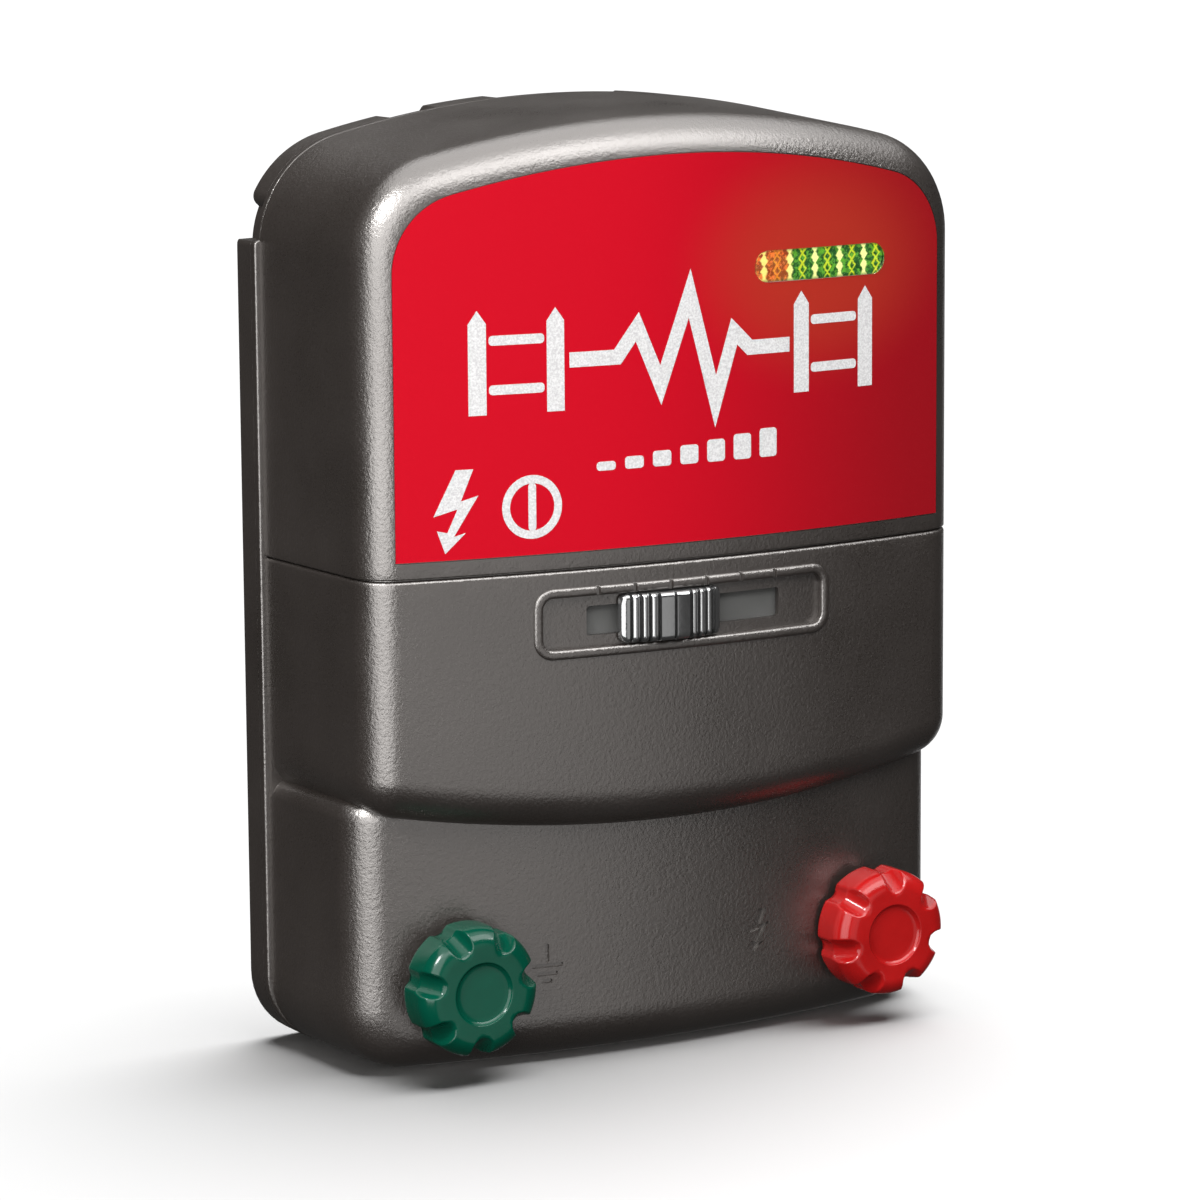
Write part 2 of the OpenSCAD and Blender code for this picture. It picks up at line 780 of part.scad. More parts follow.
module heat_sink() {
    pitch = (sink_size[0] - fin_thickness) / (fin_count - 1);
    color("Silver") {
        translate([sink_x - sink_size[0] / 2, board_y - fin_depth - sink_size[1], sink_z - sink_size[2] / 2])
            cube(sink_size);
        for (i = [0 : fin_count - 1])
            translate([sink_x - sink_size[0] / 2 + i * pitch, board_y - fin_depth, sink_z - sink_size[2] / 2])
                cube([fin_thickness, fin_depth, sink_size[2]]);
    }
}

module thyristor() {
    top = board_y - fin_depth - sink_size[1];
    color("Black") translate([sink_x - 5, top - 4.4, sink_z - 8]) cube([10, 4.4, 9]);
    color("Silver") difference() {
        translate([sink_x - 5, top - 1.3, sink_z - 8]) cube([10, 1.3, 15]);
        y_rod(sink_x, sink_z + 4, 1.8, top - 3, top + 1);
    }
}

module fuse() {
    color("LightCyan") translate([fuse_x - fuse_length / 2, board_y - 5, fuse_z]) rotate([0, 90, 0])
        cylinder(r = fuse_r - 0.3, h = fuse_length);
    color("Silver") for (s = [0, 1])
        translate([fuse_x - fuse_length / 2 + s * (fuse_length - 5), board_y - 5, fuse_z]) rotate([0, 90, 0])
            cylinder(r = fuse_r, h = 5);
}

module fuse_clips() {
    color("Goldenrod") for (s = [-1, 1])
        translate([fuse_x + s * 7.5 - 2, board_y - 8, fuse_z - 4.2]) difference() {
            cube([4, 8, 8.4]);
            translate([-1, 3, 4.2]) rotate([0, 90, 0]) cylinder(r = fuse_r + 0.03, h = 6);
            translate([-1, -1, 4.2 - 1.8]) cube([6, 4, 3.6]);
        }
}

module transformer_core() {
    window = [(core_size[0] - 4 * leg) / 2, core_size[2] - 2 * leg];
    color("SlateGray") translate([0, core_y, core_z]) difference() {
        cube(core_size, center = true);
        for (s = [-1, 1]) translate([s * (leg + window[0] / 2), 0, 0])
            cube([window[0], core_size[1] + 2, window[1]], center = true);
    }
}

module coil(grow, height) {
    linear_extrude(height, center = true) difference() {
        translate([0, 0]) rounded_rect(2 * leg + 2 * grow[1], core_size[1] + 2 * grow[1], grow[1]);
        square([2 * leg + 2 * grow[0], core_size[1] + 2 * grow[0]], center = true);
    }
}

module transformer_bobbin() {
    height = core_size[2] - 2 * leg;
    color("Ivory") translate([0, core_y, core_z]) {
        coil([0.1, bobbin_wall], height - 0.2);
        for (s = [-1, 1]) translate([0, 0, s * (height / 2 - 0.9)])
            coil([0.1, bobbin_wall + winding_build], 1.6);
    }
}

module transformer_winding() {
    height = core_size[2] - 2 * leg;
    color("DarkOrange") translate([0, core_y, core_z])
        coil([bobbin_wall + 0.05, bobbin_wall + winding_build], height - 3.6);
}

module power_inlet() {
    color("Black") translate([inlet_x, inlet_y, 0]) difference() {
        union() {
            translate([0, 0, 0.4]) cylinder(r = inlet_flange_r, h = 1.6);
            translate([0, 0, 1]) cylinder(r = inlet_r, h = inlet_length);
        }
        translate([0, 0, -1]) cylinder(r = inlet_bore_r, h = 12);
    }
    color("Silver") translate([inlet_x, inlet_y, 2]) cylinder(r = 1, h = 10);
}

module inlet_nut() {
    color("Silver") translate([inlet_x, inlet_y, 6]) difference() {
        cylinder(r = 9, h = 3, $fn = 6);
        translate([0, 0, -1]) cylinder(r = inlet_r + 0.02, h = 5);
    }
}

module case_screws() {
    color("Silver") for (s = [-1, 1], p = screw_posts) difference() {
        union() {
            y_rod(s * p[0], p[1], screw_r, y_joint - screw_reach, y_rear - screw_head_h - 1);
            y_rod(s * p[0], p[1], screw_head_r, y_rear - screw_head_h - 1, y_rear - 1);
        }
        translate([s * p[0], y_rear - 1.4, p[1]]) for (a = [0, 90])
            rotate([0, a, 0]) cube([4, 1.4, 0.9], center = true);
    }
}

rear_case();
upper_front_cover();
lower_front_cover();
front_label();
case_seal();
light_bar_lens();
light_bar_leds();
light_bar_board();
selector_knob();
selector_strip();
selector_wiper();
selector_contacts();
ground_knob();
fence_knob();
ground_insert();
fence_insert();
ground_washer();
fence_washer();
ground_stud();
fence_stud();
stud_nuts();
ring_lugs();
output_leads();
circuit_board();
storage_capacitors();
thyristor();
heat_sink();
fuse();
fuse_clips();
transformer_core();
transformer_bobbin();
transformer_winding();
power_inlet();
inlet_nut();
case_screws();
board_screws();
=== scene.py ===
import json
import math

import bmesh
import bpy
import numpy as np
from mathutils import Matrix, Vector


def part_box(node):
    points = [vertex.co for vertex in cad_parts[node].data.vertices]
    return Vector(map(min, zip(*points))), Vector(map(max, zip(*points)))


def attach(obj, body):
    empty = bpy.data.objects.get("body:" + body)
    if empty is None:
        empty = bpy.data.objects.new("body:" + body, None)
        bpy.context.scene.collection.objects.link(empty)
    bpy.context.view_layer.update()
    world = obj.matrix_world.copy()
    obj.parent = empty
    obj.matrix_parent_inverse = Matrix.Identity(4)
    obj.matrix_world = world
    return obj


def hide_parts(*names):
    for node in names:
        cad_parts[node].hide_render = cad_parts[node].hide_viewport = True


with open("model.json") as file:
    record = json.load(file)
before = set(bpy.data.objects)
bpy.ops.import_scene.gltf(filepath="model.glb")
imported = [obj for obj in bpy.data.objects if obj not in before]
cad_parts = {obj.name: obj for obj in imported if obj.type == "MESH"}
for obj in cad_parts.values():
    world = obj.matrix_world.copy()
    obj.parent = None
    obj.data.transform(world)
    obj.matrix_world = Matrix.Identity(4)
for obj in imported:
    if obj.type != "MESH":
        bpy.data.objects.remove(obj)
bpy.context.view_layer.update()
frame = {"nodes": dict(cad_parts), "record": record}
scene = bpy.context.scene

# ---- sizes in millimetres, worked out from the frame where a node shows them ----


def node_box(name):
    low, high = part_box(name)
    return np.array(low) * 1000, np.array(high) * 1000


_, rear_high = node_box("rear_case")
upper_low, upper_high = node_box("upper_front_cover")
Y_REAR = rear_high[1]
Y_JOINT = upper_high[1]
Y_FRONT = upper_low[1]
TOP = rear_high[2]
HALF = 95.0
LIP = rear_high[0] - HALF
TAPER = 2.6
WALL = 3.0
ARCH_R = 300.0
ARCH_Z = TOP - ARCH_R
CORNER_R = 31.0
EDGE_R = 12.0
BOW = 10.1
BOW_R = ((HALF - TAPER) ** 2 + BOW ** 2) / (2 * BOW)
BOW_Y = Y_FRONT + BOW_R
SEAM_Z = 136.3
BELLY_SIDE_Z = 83.2
BELLY_RISE = 7.4
FOOT_HALF = HALF + 0.2
FOOT_EDGE_R = 13.0
FOOT_CORNER_R = 19.0
FOOT_TOP = 75.0
FOOT_SHOULDER = 5.0
FOOT_BOW = 12.5
FOOT_FRONT_HALF = FOOT_HALF - TAPER
FOOT_BOW_R = (FOOT_FRONT_HALF ** 2 + FOOT_BOW ** 2) / (2 * FOOT_BOW)
Y_FOOT = Y_FRONT + 8.8
FOOT_BOW_Y = Y_FOOT + FOOT_BOW_R
LABEL_HALF = 84.5
LABEL_BOTTOM = 141.2
LABEL_ARCH_R = 287.2
LABEL_CORNER_R = 21.0
LABEL_DEPTH = 0.4
BAR_X, BAR_Z, BAR_LENGTH, BAR_HEIGHT = 42.8, 213.7, 44.0, 8.4
SELECTOR_X, SELECTOR_Z = -0.8, 122.0
RECESS_LENGTH, RECESS_HEIGHT, RECESS_R, RECESS_DEPTH = 87.0, 14.0, 3.0, 1.5
RIDGE_WIDTH, RIDGE_HEIGHT = 2.6, 0.8
SLOT_LENGTH, SLOT_HEIGHT = 60.0, 8.0
STEP, POSITIONS, REST_STEP = 11.0, 6, 2
TERMINAL_X, TERMINAL_Z = 65.0, 25.2
KNOB_R, KNOB_LENGTH, KNOB_DOME, KNOB_FLUTES = 17.65, 12.8, 5.0, 7
INSERT_R, INSERT_LENGTH, INSERT_ROOM = 6.99, 7.4, 7.02
STUD_BORE_R = 4.08
STUD_SEAT, STUD_FLANGE, WASHER_GAP, WASHER_THICK = 3.2, 1.6, 0.3, 1.6
THREAD_PITCH, THREAD_CREST_R, THREAD_ROOT_R = 1.25, 4.0, 3.42
SCREWS = [(78, 228), (85.5, 150), (85.5, 98), (58, 12)]
SCREW_HEAD_R, SCREW_DEPTH = 3.8, 1.0
KEYHOLE_X, KEYHOLE_Z = 40.0, 190.0
INLET_X, INLET_Y = 42.0, 8.0
REAR_WALL, LIP_TOP, EAR_RISE = 2.8, 222.0, 3.0
ENGRAVING = 0.7
MM = 0.001


# ---- mesh helpers, all in millimetres until finish_piece ----
def new_object(name, verts, faces):
    mesh = bpy.data.meshes.new(name)
    mesh.from_pydata([tuple(map(float, v)) for v in verts], [], faces)
    mesh.validate()
    obj = bpy.data.objects.new(name, mesh)
    scene.collection.objects.link(obj)
    recalculate(obj)
    return obj


def recalculate(obj):
    bm = bmesh.new()
    bm.from_mesh(obj.data)
    bmesh.ops.remove_doubles(bm, verts=bm.verts, dist=1e-4)
    bmesh.ops.recalc_face_normals(bm, faces=bm.faces)
    bm.to_mesh(obj.data)
    bm.free()


def apply_modifiers(obj):
    graph = bpy.context.evaluated_depsgraph_get()
    mesh = bpy.data.meshes.new_from_object(obj.evaluated_get(graph))
    old = obj.data
    obj.modifiers.clear()
    obj.data = mesh
    bpy.data.meshes.remove(old)
    return obj


def boolean(obj, tools, operation="DIFFERENCE"):
    """Applies each tool to obj as an exact solid and removes the tools."""
    for tool in tools:
        modifier = obj.modifiers.new("cut", "BOOLEAN")
        modifier.operation = operation
        modifier.object = tool
        modifier.solver = "MANIFOLD"
    apply_modifiers(obj)
    for tool in tools:
        data = tool.data
        bpy.data.objects.remove(tool)
        bpy.data.meshes.remove(data)
    return obj


def bevel(obj, width, segments=2, angle=40):
    modifier = obj.modifiers.new("bevel", "BEVEL")
    modifier.width = width
    modifier.segments = segments
    modifier.limit_method = "ANGLE"
    modifier.angle_limit = math.radians(angle)
    modifier.use_clamp_overlap = True
    return apply_modifiers(obj)


def joined(name, objects):
    """One object that holds the meshes of all the given ones."""
    bm = bmesh.new()
    for obj in objects:
        bm.from_mesh(obj.data)
        bpy.data.objects.remove(obj)
    mesh = bpy.data.meshes.new(name)
    bm.to_mesh(mesh)
    bm.free()
    result = bpy.data.objects.new(name, mesh)
    scene.collection.objects.link(result)
    return result


def finish_piece(obj, material, body, replaces=(), smooth=35):
    """Scales a piece to metres, shades it, gives it its material and fixes it to its body."""
    obj.data.transform(Matrix.Scale(MM, 4))
    obj.data.materials.clear()
    obj.data.materials.append(material)
    obj.data.polygons.foreach_set("material_index", [0] * len(obj.data.polygons))
    obj.data.shade_smooth()
    obj.data.set_sharp_from_angle(angle=math.radians(smooth))
    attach(obj, body)
    if replaces:
        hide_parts(*replaces)
    return obj


def ring_mesh(name, rings, cap_first=True, cap_last=True, closed=False):
    """Joins rings of equal point counts by quads; the two ends are capped or joined to each other."""
    count = len(rings[0])
    verts = [p for ring in rings for p in ring]
    faces = []
    last = len(rings) if closed else len(rings) - 1
    for k in range(last):
        a, b = k * count, ((k + 1) % len(rings)) * count
        faces += [(a + i, a + (i + 1) % count, b + (i + 1) % count, b + i) for i in range(count)]
    if not closed:
        if cap_first:
            faces.append(tuple(range(count)))
        if cap_last:
            faces.append(tuple(range((len(rings) - 1) * count, len(rings) * count)))
    return new_object(name, verts, faces)


def revolve(name, profile, origin, segments=96, axis="Y"):
    """Turns (radius, distance) pairs about an axis; the distance runs towards -Y, or up for axis Z.
    A profile whose first and last radius are zero is a solid; any other is closed into a ring."""
    origin = np.array(origin, float)
    rings = []
    for radius, along in profile:
        ring = []
        for i in range(segments):
            a = 2 * math.pi * i / segments
            u, v = radius * math.cos(a), radius * math.sin(a)
            ring.append(origin + (np.array([u, -along, v]) if axis == "Y" else np.array([u, v, along])))
        rings.append(ring)
    closed = profile[0][0] > 0 and profile[-1][0] > 0
    return ring_mesh(name, rings, cap_first=False, cap_last=False, closed=closed)


def grid_solid(name, top, bottom, columns, rows):
    """Closed solid between two grids of points that run along columns, each with rows + 1 points."""
    step = rows + 1
    starts = [i * step + j for i in range(columns) for j in range(rows)]
    faces = [(a, a + 1, a + step + 1, a + step) for a in starts]
    count = len(top)
    faces += [tuple(v + count for v in reversed(f)) for f in faces]
    rim = [i * step for i in range(columns + 1)] + [columns * step + j for j in range(1, rows + 1)]
    rim += [i * step + rows for i in reversed(range(columns))] + list(reversed(range(1, rows)))
    faces += [(a, b, b + count, a + count) for a, b in zip(rim, rim[1:] + rim[:1])]
    return new_object(name, list(top) + list(bottom), faces)


def disc_profile(radius, low, high, chamfer):
    """Profile of a solid disc with chamfered rims."""
    return [(0, low), (radius - chamfer, low), (radius, low + chamfer), (radius, high - chamfer),
            (radius - chamfer, high), (0, high)]


def washer_profile(inner, outer, low, high, chamfer):
    return [(inner + chamfer, low), (outer - chamfer, low), (outer, low + chamfer), (outer, high - chamfer),
            (outer - chamfer, high), (inner + chamfer, high), (inner, high - chamfer), (inner, low + chamfer)]


# ---- outlines in the plane of x and z ----
def arc(cx, cz, radius, start, end, count):
    return [(cx + radius * math.cos(a), cz + radius * math.sin(a))
            for a in np.linspace(math.radians(start), math.radians(end), count)]


def rounded_rect(cx, cz, width, height, radius, count=9):
    points = []
    for k, (sx, sz) in enumerate([(1, -1), (1, 1), (-1, 1), (-1, -1)]):
        points += arc(cx + sx * (width / 2 - radius), cz + sz * (height / 2 - radius), radius,
                      -90 + 90 * k, 90 * k, count)
    return points


def distinct(points):
    """The loop without points that repeat the one before."""
    return [p for i, p in enumerate(points) if math.dist(p, points[i - 1]) > 1e-6]


def rect_loop(cx, half, low, high):
    return [(cx - half, low), (cx + half, low), (cx + half, high), (cx - half, high)]


def half_to_loop(right):
    """Mirrors the right half, which runs from the bottom middle to the top middle, into a whole loop."""
    left = [(-x, z, -nx, nz) for x, z, nx, nz in reversed(right[1:-1])]
    return np.array(right + left)


def arched_path(half, arch_r, corner_r, inset, side_z, rise, bottom_r=0.0):
    """Centre path with normals: arched top, straight sides, and a belly curve or rounded corners below."""
    cx = half - corner_r
    cz = ARCH_Z + math.sqrt((arch_r - corner_r) ** 2 - cx ** 2)
    lean = math.asin(cx / (arch_r - corner_r))
    side = half - inset
    flat = side - bottom_r
    right = []
    for t in np.linspace(0, 1, 21):
        slope = 2 * rise * t / flat
        size = math.hypot(slope, 1)
        right.append((flat * t, side_z - rise + rise * t * t - bottom_r, slope / size, -1 / size))
    start = math.atan2(-1, 2 * rise / flat)
    for t in np.linspace(0, 1, 10)[1:]:
        a = start * (1 - t)
        right.append((flat + bottom_r * math.cos(a), side_z + bottom_r * math.sin(a),
                      math.cos(a), math.sin(a)))
    for t in np.linspace(0, 1, 25)[1:]:
        right.append((side, side_z + (cz - side_z) * t, 1.0, 0.0))
    for t in np.linspace(0, 1, 17)[1:]:
        a = (math.pi / 2 - lean) * t
        right.append((cx + (corner_r - inset) * math.cos(a), cz + (corner_r - inset) * math.sin(a),
                      math.cos(a), math.sin(a)))
    for t in np.linspace(0, 1, 33)[1:]:
        a = lean * (1 - t)
        right.append(((arch_r - inset) * math.sin(a), ARCH_Z + (arch_r - inset) * math.cos(a),
                      math.sin(a), math.cos(a)))
    return half_to_loop(right)


def bow_at(x, depth=0.0):
    return BOW_Y - math.sqrt((BOW_R - depth) ** 2 - x * x)


def foot_at(x, depth=0.0):
    return FOOT_BOW_Y - math.sqrt((FOOT_BOW_R - depth) ** 2 - x * x)


def blended_skin(name, front, rear, edge_r, r, bow_r, bow_y, y_back):
    """Closed solid: a wall from the rear outline to a rounded edge, then the bowed face.
    edge_r sets where the centre path lies; r is how far the surface stands off it."""
    cy = [bow_y - math.sqrt((bow_r - edge_r) ** 2 - x * x) for x in front[:, 0]]
    near = np.array([(x, y, z) for (x, z), y in zip(front[:, :2], cy)])
    far = np.array([(x, Y_JOINT, z) for x, z in rear[:, :2]])
    n_front = np.array([(nx, 0, nz) for nx, nz in front[:, 2:]])
    n_rear = np.array([(nx, 0, nz) for nx, nz in rear[:, 2:]])
    rings = []
    if y_back > Y_JOINT:
        rings.append(far + n_rear * r + np.array([0, y_back - Y_JOINT, 0]))
    for t in np.linspace(0, 1, 8):
        rings.append(far * (1 - t) + near * t + (n_rear * (1 - t) + n_front * t) * r)
    forward = np.array([(x / (bow_r - edge_r), -math.sqrt(1 - (x / (bow_r - edge_r)) ** 2), 0)
                        for x in front[:, 0]])
    dots = np.clip((n_front * forward).sum(1), -1, 1)
    angle = np.arccos(dots)[:, None]
    for t in np.linspace(0, 1, 13)[1:]:
        direction = (np.sin((1 - t) * angle) * n_front + np.sin(t * angle) * forward) / np.sin(angle)
        rings.append(near + direction * r)
    edge = rings[-1]
    middle_z = (edge[:, 2].max() + edge[:, 2].min()) / 2
    for s in np.linspace(1, 0, 21)[1:-1]:
        x = edge[:, 0] * s
        z = middle_z + (edge[:, 2] - middle_z) * s
        y = bow_y - np.sqrt((bow_r - edge_r + r) ** 2 - x * x)
        rings.append(np.stack([x, y, z], 1))
    return ring_mesh(name, rings)


def wrapped(name, loops, surface, near, far, step=3.0):
    """Solid whose two faces follow a bowed surface, at the depths near and far behind it."""
    bm = bmesh.new()
    for loop in loops:
        verts = [bm.verts.new((x, 0, z)) for x, z in loop]
        bm.faces.new(verts)
    low = min(x for loop in loops for x, _ in loop)
    high = max(x for loop in loops for x, _ in loop)
    cut = math.floor(low / step) * step + step
    while cut < high:
        bmesh.ops.bisect_plane(bm, geom=bm.verts[:] + bm.edges[:] + bm.faces[:], dist=1e-5,
                               plane_co=(cut, 0, 0), plane_no=(1, 0, 0))
        cut += step
    bm.verts.index_update()
    flat = [(v.co.x, v.co.z) for v in bm.verts]
    count = len(flat)
    faces = [tuple(v.index for v in f.verts) for f in bm.faces]
    rim = [(e.verts[0].index, e.verts[1].index) for e in bm.edges if len(e.link_faces) == 1]
    bm.free()
    verts = [(x, surface(x, near), z) for x, z in flat] + [(x, surface(x, far), z) for x, z in flat]
    faces += [tuple(i + count for i in reversed(f)) for f in faces]
    faces += [(a, b, b + count, a + count) for a, b in rim]
    return new_object(name, verts, faces)


def cut_level(obj, z, keep_above, lip):
    """Cuts a skin at a height, closes the cut and rounds its outer edge over the height lip."""
    bm = bmesh.new()
    bm.from_mesh(obj.data)
    sign = 1 if keep_above else -1
    levels = [lip * s for s in (1.0, 0.62, 0.34, 0.14, 0.03)] if lip else []

    def everything():
        return bm.verts[:] + bm.edges[:] + bm.faces[:]

    for d in levels:
        bmesh.ops.bisect_plane(bm, geom=everything(), dist=1e-5, plane_co=(0, 0, z + sign * d),
                               plane_no=(0, 0, 1))
    bm.normal_update()
    normals = {}
    for v in bm.verts:
        n = Vector((v.normal.x, v.normal.y, 0))
        if v.co.y > Y_JOINT - 0.01:
            n = Vector((math.copysign(1, v.co.x), 0, 0))
        normals[v] = n.normalized() if n.length > 1e-6 else n
    cut = bmesh.ops.bisect_plane(bm, geom=everything(), dist=1e-5, plane_co=(0, 0, z), plane_no=(0, 0, 1),
                                 clear_inner=keep_above, clear_outer=not keep_above)
    edges = [e for e in cut["geom_cut"] if isinstance(e, bmesh.types.BMEdge)]
    if lip:
        bm.normal_update()
        for v in bm.verts:
            d = abs(v.co.z - z)
            if d < lip - 1e-6:
                n = normals.get(v)
                if n is None:
                    n = Vector((v.normal.x, v.normal.y, 0))
                    if v.co.y > Y_JOINT - 0.01:
                        n = Vector((math.copysign(1, v.co.x), 0, 0))
                    n.normalize()
                shift = lip - math.sqrt(max(0.0, lip * lip - (lip - d) ** 2))
                v.co -= n * shift
    bmesh.ops.holes_fill(bm, edges=edges, sides=0)
    bmesh.ops.recalc_face_normals(bm, faces=bm.faces)
    bm.to_mesh(obj.data)
    bm.free()
    return obj


def box_tool(low, high):
    x0, y0, z0 = low
    x1, y1, z1 = high
    bottom = [(x0, y0, z0), (x1, y0, z0), (x1, y1, z0), (x0, y1, z0)]
    top = [(x, y, z1) for x, y, _ in bottom]
    return ring_mesh("tool", [bottom, top])


def rod_tool(x, z, r, y_from, y_to, segments=48):
    return revolve("tool", [(0, 0), (r, 0), (r, y_to - y_from), (0, y_to - y_from)], (x, y_to, z), segments)


# ---- procedural materials ----
class Shader:
    """A principled material with short helpers for the nodes that feed it."""

    def __init__(self, name, roughness=0.5, metallic=0.0, specular=0.5):
        self.material = bpy.data.materials.new(name)
        self.material.use_nodes = True
        self.tree = self.material.node_tree
        self.shader = self.tree.nodes["Principled BSDF"]
        self.set("Roughness", roughness)
        self.set("Metallic", metallic)
        self.set("Specular IOR Level", specular)
        self.place = self.node("ShaderNodeTexCoord").outputs["Object"]

    def node(self, kind, **settings):
        made = self.tree.nodes.new(kind)
        for key, value in settings.items():
            setattr(made, key, value)
        return made

    def link(self, output, target):
        self.tree.links.new(output, target)
        return output

    def set(self, socket, value):
        self.shader.inputs[socket].default_value = value

    def noise(self, size_mm, detail=3.0, roughness=0.5, place=None):
        made = self.node("ShaderNodeTexNoise")
        made.inputs["Scale"].default_value = 1000.0 / size_mm
        made.inputs["Detail"].default_value = detail
        made.inputs["Roughness"].default_value = roughness
        self.link(place or self.place, made.inputs["Vector"])
        return made.outputs["Fac"]

    def stretched(self, factors):
        made = self.node("ShaderNodeMapping")
        made.inputs["Scale"].default_value = factors
        self.link(self.place, made.inputs["Vector"])
        return made.outputs["Vector"]

    def math(self, operation, a, b=0.0, clamp=False):
        made = self.node("ShaderNodeMath", operation=operation, use_clamp=clamp)
        for value, socket in ((a, made.inputs[0]), (b, made.inputs[1])):
            if isinstance(value, (int, float)):
                socket.default_value = value
            else:
                self.link(value, socket)
        return made.outputs[0]

    def spread(self, value, low, high, to_low=0.0, to_high=1.0, smooth=False):
        made = self.node("ShaderNodeMapRange")
        if smooth:
            made.interpolation_type = "SMOOTHSTEP"
        self.link(value, made.inputs["Value"])
        limits = {"From Min": low, "From Max": high, "To Min": to_low, "To Max": to_high}
        for socket, number in limits.items():
            made.inputs[socket].default_value = number
        return made.outputs["Result"]

    def mix(self, factor, a, b):
        made = self.node("ShaderNodeMix", data_type="RGBA")
        self.link(factor, made.inputs["Factor"])
        for value, socket in ((a, made.inputs[6]), (b, made.inputs[7])):
            if isinstance(value, tuple):
                socket.default_value = (*value, 1.0)
            else:
                self.link(value, socket)
        return made.outputs[2]

    def axis(self, name):
        made = self.node("ShaderNodeSeparateXYZ")
        self.link(self.place, made.inputs[0])
        return made.outputs[name]

    def colour(self, output):
        self.link(output, self.shader.inputs["Base Color"])

    def roughness(self, value, low, high):
        self.link(self.spread(value, 0.3, 0.7, low, high), self.shader.inputs["Roughness"])

    def bump(self, *layers):
        """Layers of (height output, depth in millimetres, strength)."""
        previous = None
        for height, depth, strength in layers:
            made = self.node("ShaderNodeBump")
            made.inputs["Distance"].default_value = depth * MM
            made.inputs["Strength"].default_value = strength
            self.link(height, made.inputs["Height"])
            if previous is not None:
                self.link(previous, made.inputs["Normal"])
            previous = made.outputs["Normal"]
        self.link(previous, self.shader.inputs["Normal"])


def grained_plastic(name, dark, light, grain=1.0):
    """Moulded plastic with a fine sparked grain over slow undulations."""
    s = Shader(name, specular=1.0)
    s.set("IOR", 1.7)
    s.set("Specular Tint", (1.0, 0.96, 0.93, 1.0))
    fine = s.noise(0.42, 2.0, 0.55)
    leather = s.noise(1.05, 3.0, 0.5)
    slow = s.noise(38.0, 2.0)
    tone = s.math("ADD", s.math("MULTIPLY", fine, 0.5), s.math("MULTIPLY", slow, 0.5))
    s.colour(s.mix(s.spread(tone, 0.3, 0.7), dark, light))
    s.roughness(s.math("ADD", s.math("MULTIPLY", fine, 0.6), s.math("MULTIPLY", slow, 0.4)), 0.24, 0.42)
    s.bump((leather, 0.11 * grain, 1.0), (fine, 0.06 * grain, 1.0))
    return s.material


def moulded(name, dark, light, rough=(0.3, 0.4), specular=0.5, grain=0.02, size=0.8, ior=1.5):
    """Smooth moulded plastic: faint flow marks, slight mottling and a fine satin grain."""
    s = Shader(name, specular=specular)
    s.set("IOR", ior)
    slow = s.noise(14.0, 3.0)
    fine = s.noise(size, 3.0)
    s.colour(s.mix(s.spread(slow, 0.3, 0.7), dark, light))
    s.roughness(fine, *rough)
    s.bump((fine, grain, 0.5))
    return s.material


def metal(name, dark, light, rough=(0.22, 0.4), stretch=(1, 1, 14), size=2.0, scratch=0.012):
    """Metal with fine drawn lines, patches of dulling and uneven gloss."""
    s = Shader(name, metallic=1.0)
    lines = s.noise(size, 4.0, 0.6, s.stretched(stretch))
    patches = s.noise(7.0, 3.0)
    s.colour(s.mix(s.spread(patches, 0.3, 0.7), dark, light))
    s.roughness(s.math("ADD", s.math("MULTIPLY", lines, 0.5), s.math("MULTIPLY", patches, 0.5)), *rough)
    s.bump((lines, scratch, 0.4))
    return s.material


def label_film():
    """Printed film: red painted lighter at the left and darker to the right as painted shade, with a painted
    warm glow round the light bar that stands in for the bar's light on the film.
    """
    s = Shader("label_film", specular=0.12)
    # painted shade: the red is lighter at the left and darker to the right, as if lit from the left
    across = s.spread(s.axis("X"), -0.03, 0.088, smooth=True)
    red = s.mix(across, (0.31, 0.0, 0.0065), (0.165, 0.002, 0.005))
    # painted light: a warm glow centred just left of the light bar stands in for the bar's light falling on
    # the film
    dx = s.math("SUBTRACT", s.axis("X"), (BAR_X - 1) * MM)
    dz = s.math("MULTIPLY", s.math("SUBTRACT", s.axis("Z"), BAR_Z * MM), 1.35)
    reach = s.math("SQRT", s.math("ADD", s.math("MULTIPLY", dx, dx), s.math("MULTIPLY", dz, dz)))
    painted_glow = s.spread(reach, 0.012, 0.05, 0.62, 0.0, smooth=True)
    warm = s.mix(painted_glow, red, (0.24, 0.022, 0.009))
    speckle = s.noise(0.5, 2.0)
    s.colour(s.mix(s.spread(speckle, 0.62, 0.85, 0.0, 0.12), warm, (0.5, 0.03, 0.04)))
    s.roughness(s.noise(0.8, 3.0), 0.36, 0.44)
    s.bump((s.noise(0.6, 2.0), 0.02, 0.3))
    return s.material


def print_white():
    s = Shader("label_print", specular=0.3)
    speckle = s.noise(0.55, 3.0, 0.7)
    s.colour(s.mix(s.spread(speckle, 0.4, 0.62), (0.32, 0.315, 0.315), (0.46, 0.455, 0.455)))
    s.roughness(speckle, 0.4, 0.5)
    s.bump((speckle, 0.02, 0.4))
    return s.material


def lens_clear():
    s = Shader("lens_clear", roughness=0.06, specular=0.5)
    s.set("Transmission Weight", 1.0)
    s.set("IOR", 1.2)
    tint = s.noise(6.0, 2.0)
    s.colour(s.mix(s.spread(tint, 0.3, 0.7), (0.95, 0.97, 0.95), (1.0, 1.0, 1.0)))
    s.roughness(s.noise(1.2, 2.0), 0.02, 0.06)
    s.bump((s.noise(3.0, 1.0), 0.01, 0.2))
    return s.material


